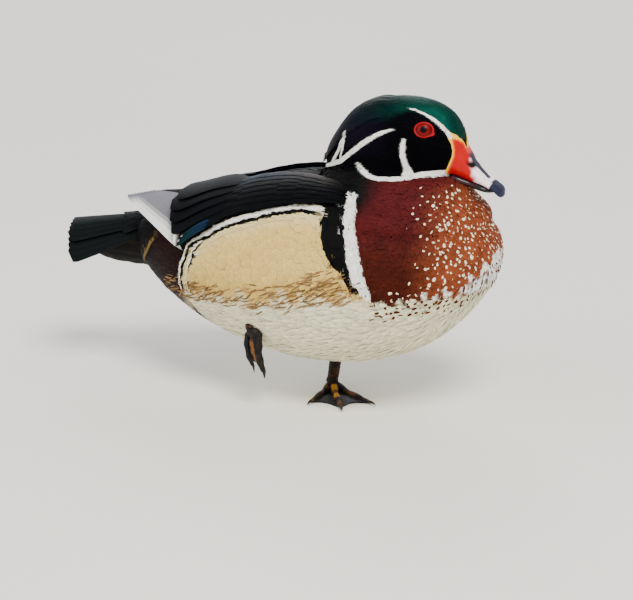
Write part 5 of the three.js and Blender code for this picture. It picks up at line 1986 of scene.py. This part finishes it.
        def tone(p: np.ndarray) -> np.ndarray:
            """Dark toes with an ochre web between them."""
            dark, ochre = srgb(7, 5, 5), srgb(124, 80, 30)
            web = ease(np.abs(p[:, 0] - (ankle[0] - 0.4 + (ankle[2] - p[:, 2]) * 0.12)), 1.5, 0.7)
            web = web * ease(p[:, 2], ankle[2] - 2, ankle[2] - 7)
            return dark + (ochre - dark) * np.clip(web * 0.8 + 0.05 * Noise(3, 33)(p), 0, 1)[:, None]

        self._finish(forms, claws, "right", tone, lambda p: p)

    def _finish(
        self, forms: list[bmesh.types.BMesh], claws: list[bmesh.types.BMesh], tag: str,
        tone: Callable[[np.ndarray], np.ndarray], move: Callable[[np.ndarray], np.ndarray],
    ) -> None:
        """Melts the foot together, colours it and moves it into place."""
        made = fused(forms, self.cell, 2)
        points, triangles = arrays(made)
        made.free()
        foot = piece(f"webbed_foot_{tag}", move(points), triangles, ScaleFinish().make(), Layers(np.clip(tone(points), 0, 1)))
        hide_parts(f"foot_{tag}")
        whole, corners, start = [], [], 0
        for claw in claws:
            points, triangles = arrays(claw)
            claw.free()
            whole.append(points)
            corners.append(triangles + start)
            start += len(points)
        points = move(np.concatenate(whole))
        tone_ = np.zeros_like(points) + srgb(22, 18, 16)
        made_ = piece(f"claws_{tag}", points, np.concatenate(corners), HornFinish("claw_horn", 0.35, 0.3).make(), Layers(tone_))


@dataclass
class Leg:
    """The scaly shank between the foot and the feathers."""

    side: Side
    path: tuple[tuple[float, float, float], ...]
    size: float

    def build(self) -> bpy.types.Object:
        """Makes the shank.

        Returns:
            The object.
        """
        def radius(share: np.ndarray) -> np.ndarray:
            """The radius by share of the way."""
            return self.size * (1 + 0.2 * share**2) * (1 + 0.03 * np.sin(share * math.tau * 15))

        form = tube(self.path, radius, 40, 120)
        points, triangles = arrays(form)
        form.free()
        brown, ochre = srgb(24, 13, 6), srgb(66, 40, 15)
        tone = brown + (ochre - brown) * ease(Noise(4, 35)(points), -0.3, 0.9)[:, None]
        tag = self.side.name.lower()
        made = piece(f"shank_{tag}", points, triangles, ScaleFinish().make(), Layers(tone))
        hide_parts(f"leg_{tag}")
        return made


@dataclass
class Studio:
    """Floor, soft light and the camera at the photograph's angle."""

    azimuth: float = math.radians(22)
    elevation: float = math.radians(16)
    distance: float = 1.7
    focal: float = 2550.0
    width: int = 633
    centre: tuple[float, float] = (316.5, 300.0)
    aim_pixel: tuple[float, float] = (340.0, 395.0)

    def floor(self) -> None:
        """Lays the floor."""
        bm = bmesh.new()
        bmesh.ops.create_grid(bm, x_segments=1, y_segments=1, size=14.0)
        mesh = bpy.data.meshes.new("floor")
        bm.to_mesh(mesh)
        bm.free()
        mesh.materials.append(FloorFinish().make())
        floor = bpy.data.objects.new("floor", mesh)
        bpy.context.scene.collection.objects.link(floor)

    def lamp(
        self, name: str, place: tuple[float, float, float], size: float, power: float, tint: tuple,
    ) -> None:
        """Hangs one soft lamp aimed at the bird."""
        light = bpy.data.lights.new(name, "AREA")
        light.shape, light.size, light.energy, light.color = "DISK", size, power, tint
        lamp = bpy.data.objects.new(name, light)
        lamp.location = place
        lamp.rotation_euler = (Vector((0, 0, 0.1)) - lamp.location).to_track_quat("-Z", "Y").to_euler()
        bpy.context.scene.collection.objects.link(lamp)

    def light(self) -> None:
        """Sets the lamps and the pale surroundings."""
        self.lamp("key", (1.0, -1.4, 2.2), 1.1, 95.0, (1.0, 0.97, 0.92))
        self.lamp("fill", (-1.7, -1.5, 1.2), 1.8, 20.0, (0.94, 0.97, 1.0))
        self.lamp("back", (-0.8, 1.9, 1.6), 1.2, 26.0, (0.96, 0.98, 1.0))
        world = bpy.data.worlds.new("pale_room")
        world.use_nodes = True
        sky = world.node_tree.nodes["Background"]
        sky.inputs["Color"].default_value = (0.93, 0.95, 1.0, 1)
        sky.inputs["Strength"].default_value = 0.85
        bpy.context.scene.world = world

    def camera(self) -> None:
        """Places the camera."""
        a, e = self.azimuth, self.elevation
        back = np.array([math.sin(a) * math.cos(e), -math.cos(a) * math.cos(e), math.sin(e)])
        right = np.array([math.cos(a), math.sin(a), 0])
        up = np.cross(back, right)
        across = (self.aim_pixel[0] - self.centre[0]) / self.focal
        down = (self.centre[1] - self.aim_pixel[1]) / self.focal
        depth = self.distance + float(np.array([0, 0, 0.095]) @ back)
        place = -depth * (-back + across * right + down * up)
        data = bpy.data.cameras.new("camera")
        data.sensor_width = 36.0
        data.lens = self.focal / self.width * 36.0
        data.clip_start, data.clip_end = 0.05, 60.0
        camera = bpy.data.objects.new("camera", data)
        camera.matrix_world = Matrix([[*row, p] for row, p in zip(np.stack([right, up, back], 1), place)] + [[0, 0, 0, 1]])
        bpy.context.scene.collection.objects.link(camera)
        bpy.context.scene.camera = camera

    def build(self) -> None:
        """Sets the whole studio up."""
        self.floor()
        self.light()
        self.camera()


def main() -> None:
    """Builds the bird piece by piece."""
    body = Body()
    body.dress()
    for number, coat in enumerate(COATS):
        coat.grow(body, number)
    Crest().build()
    for side in Side:
        Wing(side).build()
        eye = Eye(side)
        eye.ball()
        eye.lids()
    Tail().build()
    bill = Bill()
    bill.upper()
    bill.lower()
    Foot(Side.LEFT).standing()
    Foot(Side.RIGHT).raised()
    Leg(Side.LEFT, ((-10, 11, 4.5), (-6.8, 9, 22), (-3.5, 7, 40)), 3.9).build()
    Leg(Side.RIGHT, ((-43, -51, 54.5), (-46.5, -44.5, 60.5), (-50, -38, 66)), 3.6).build()
    Studio().build()


if __name__ == "__main__":
    main()
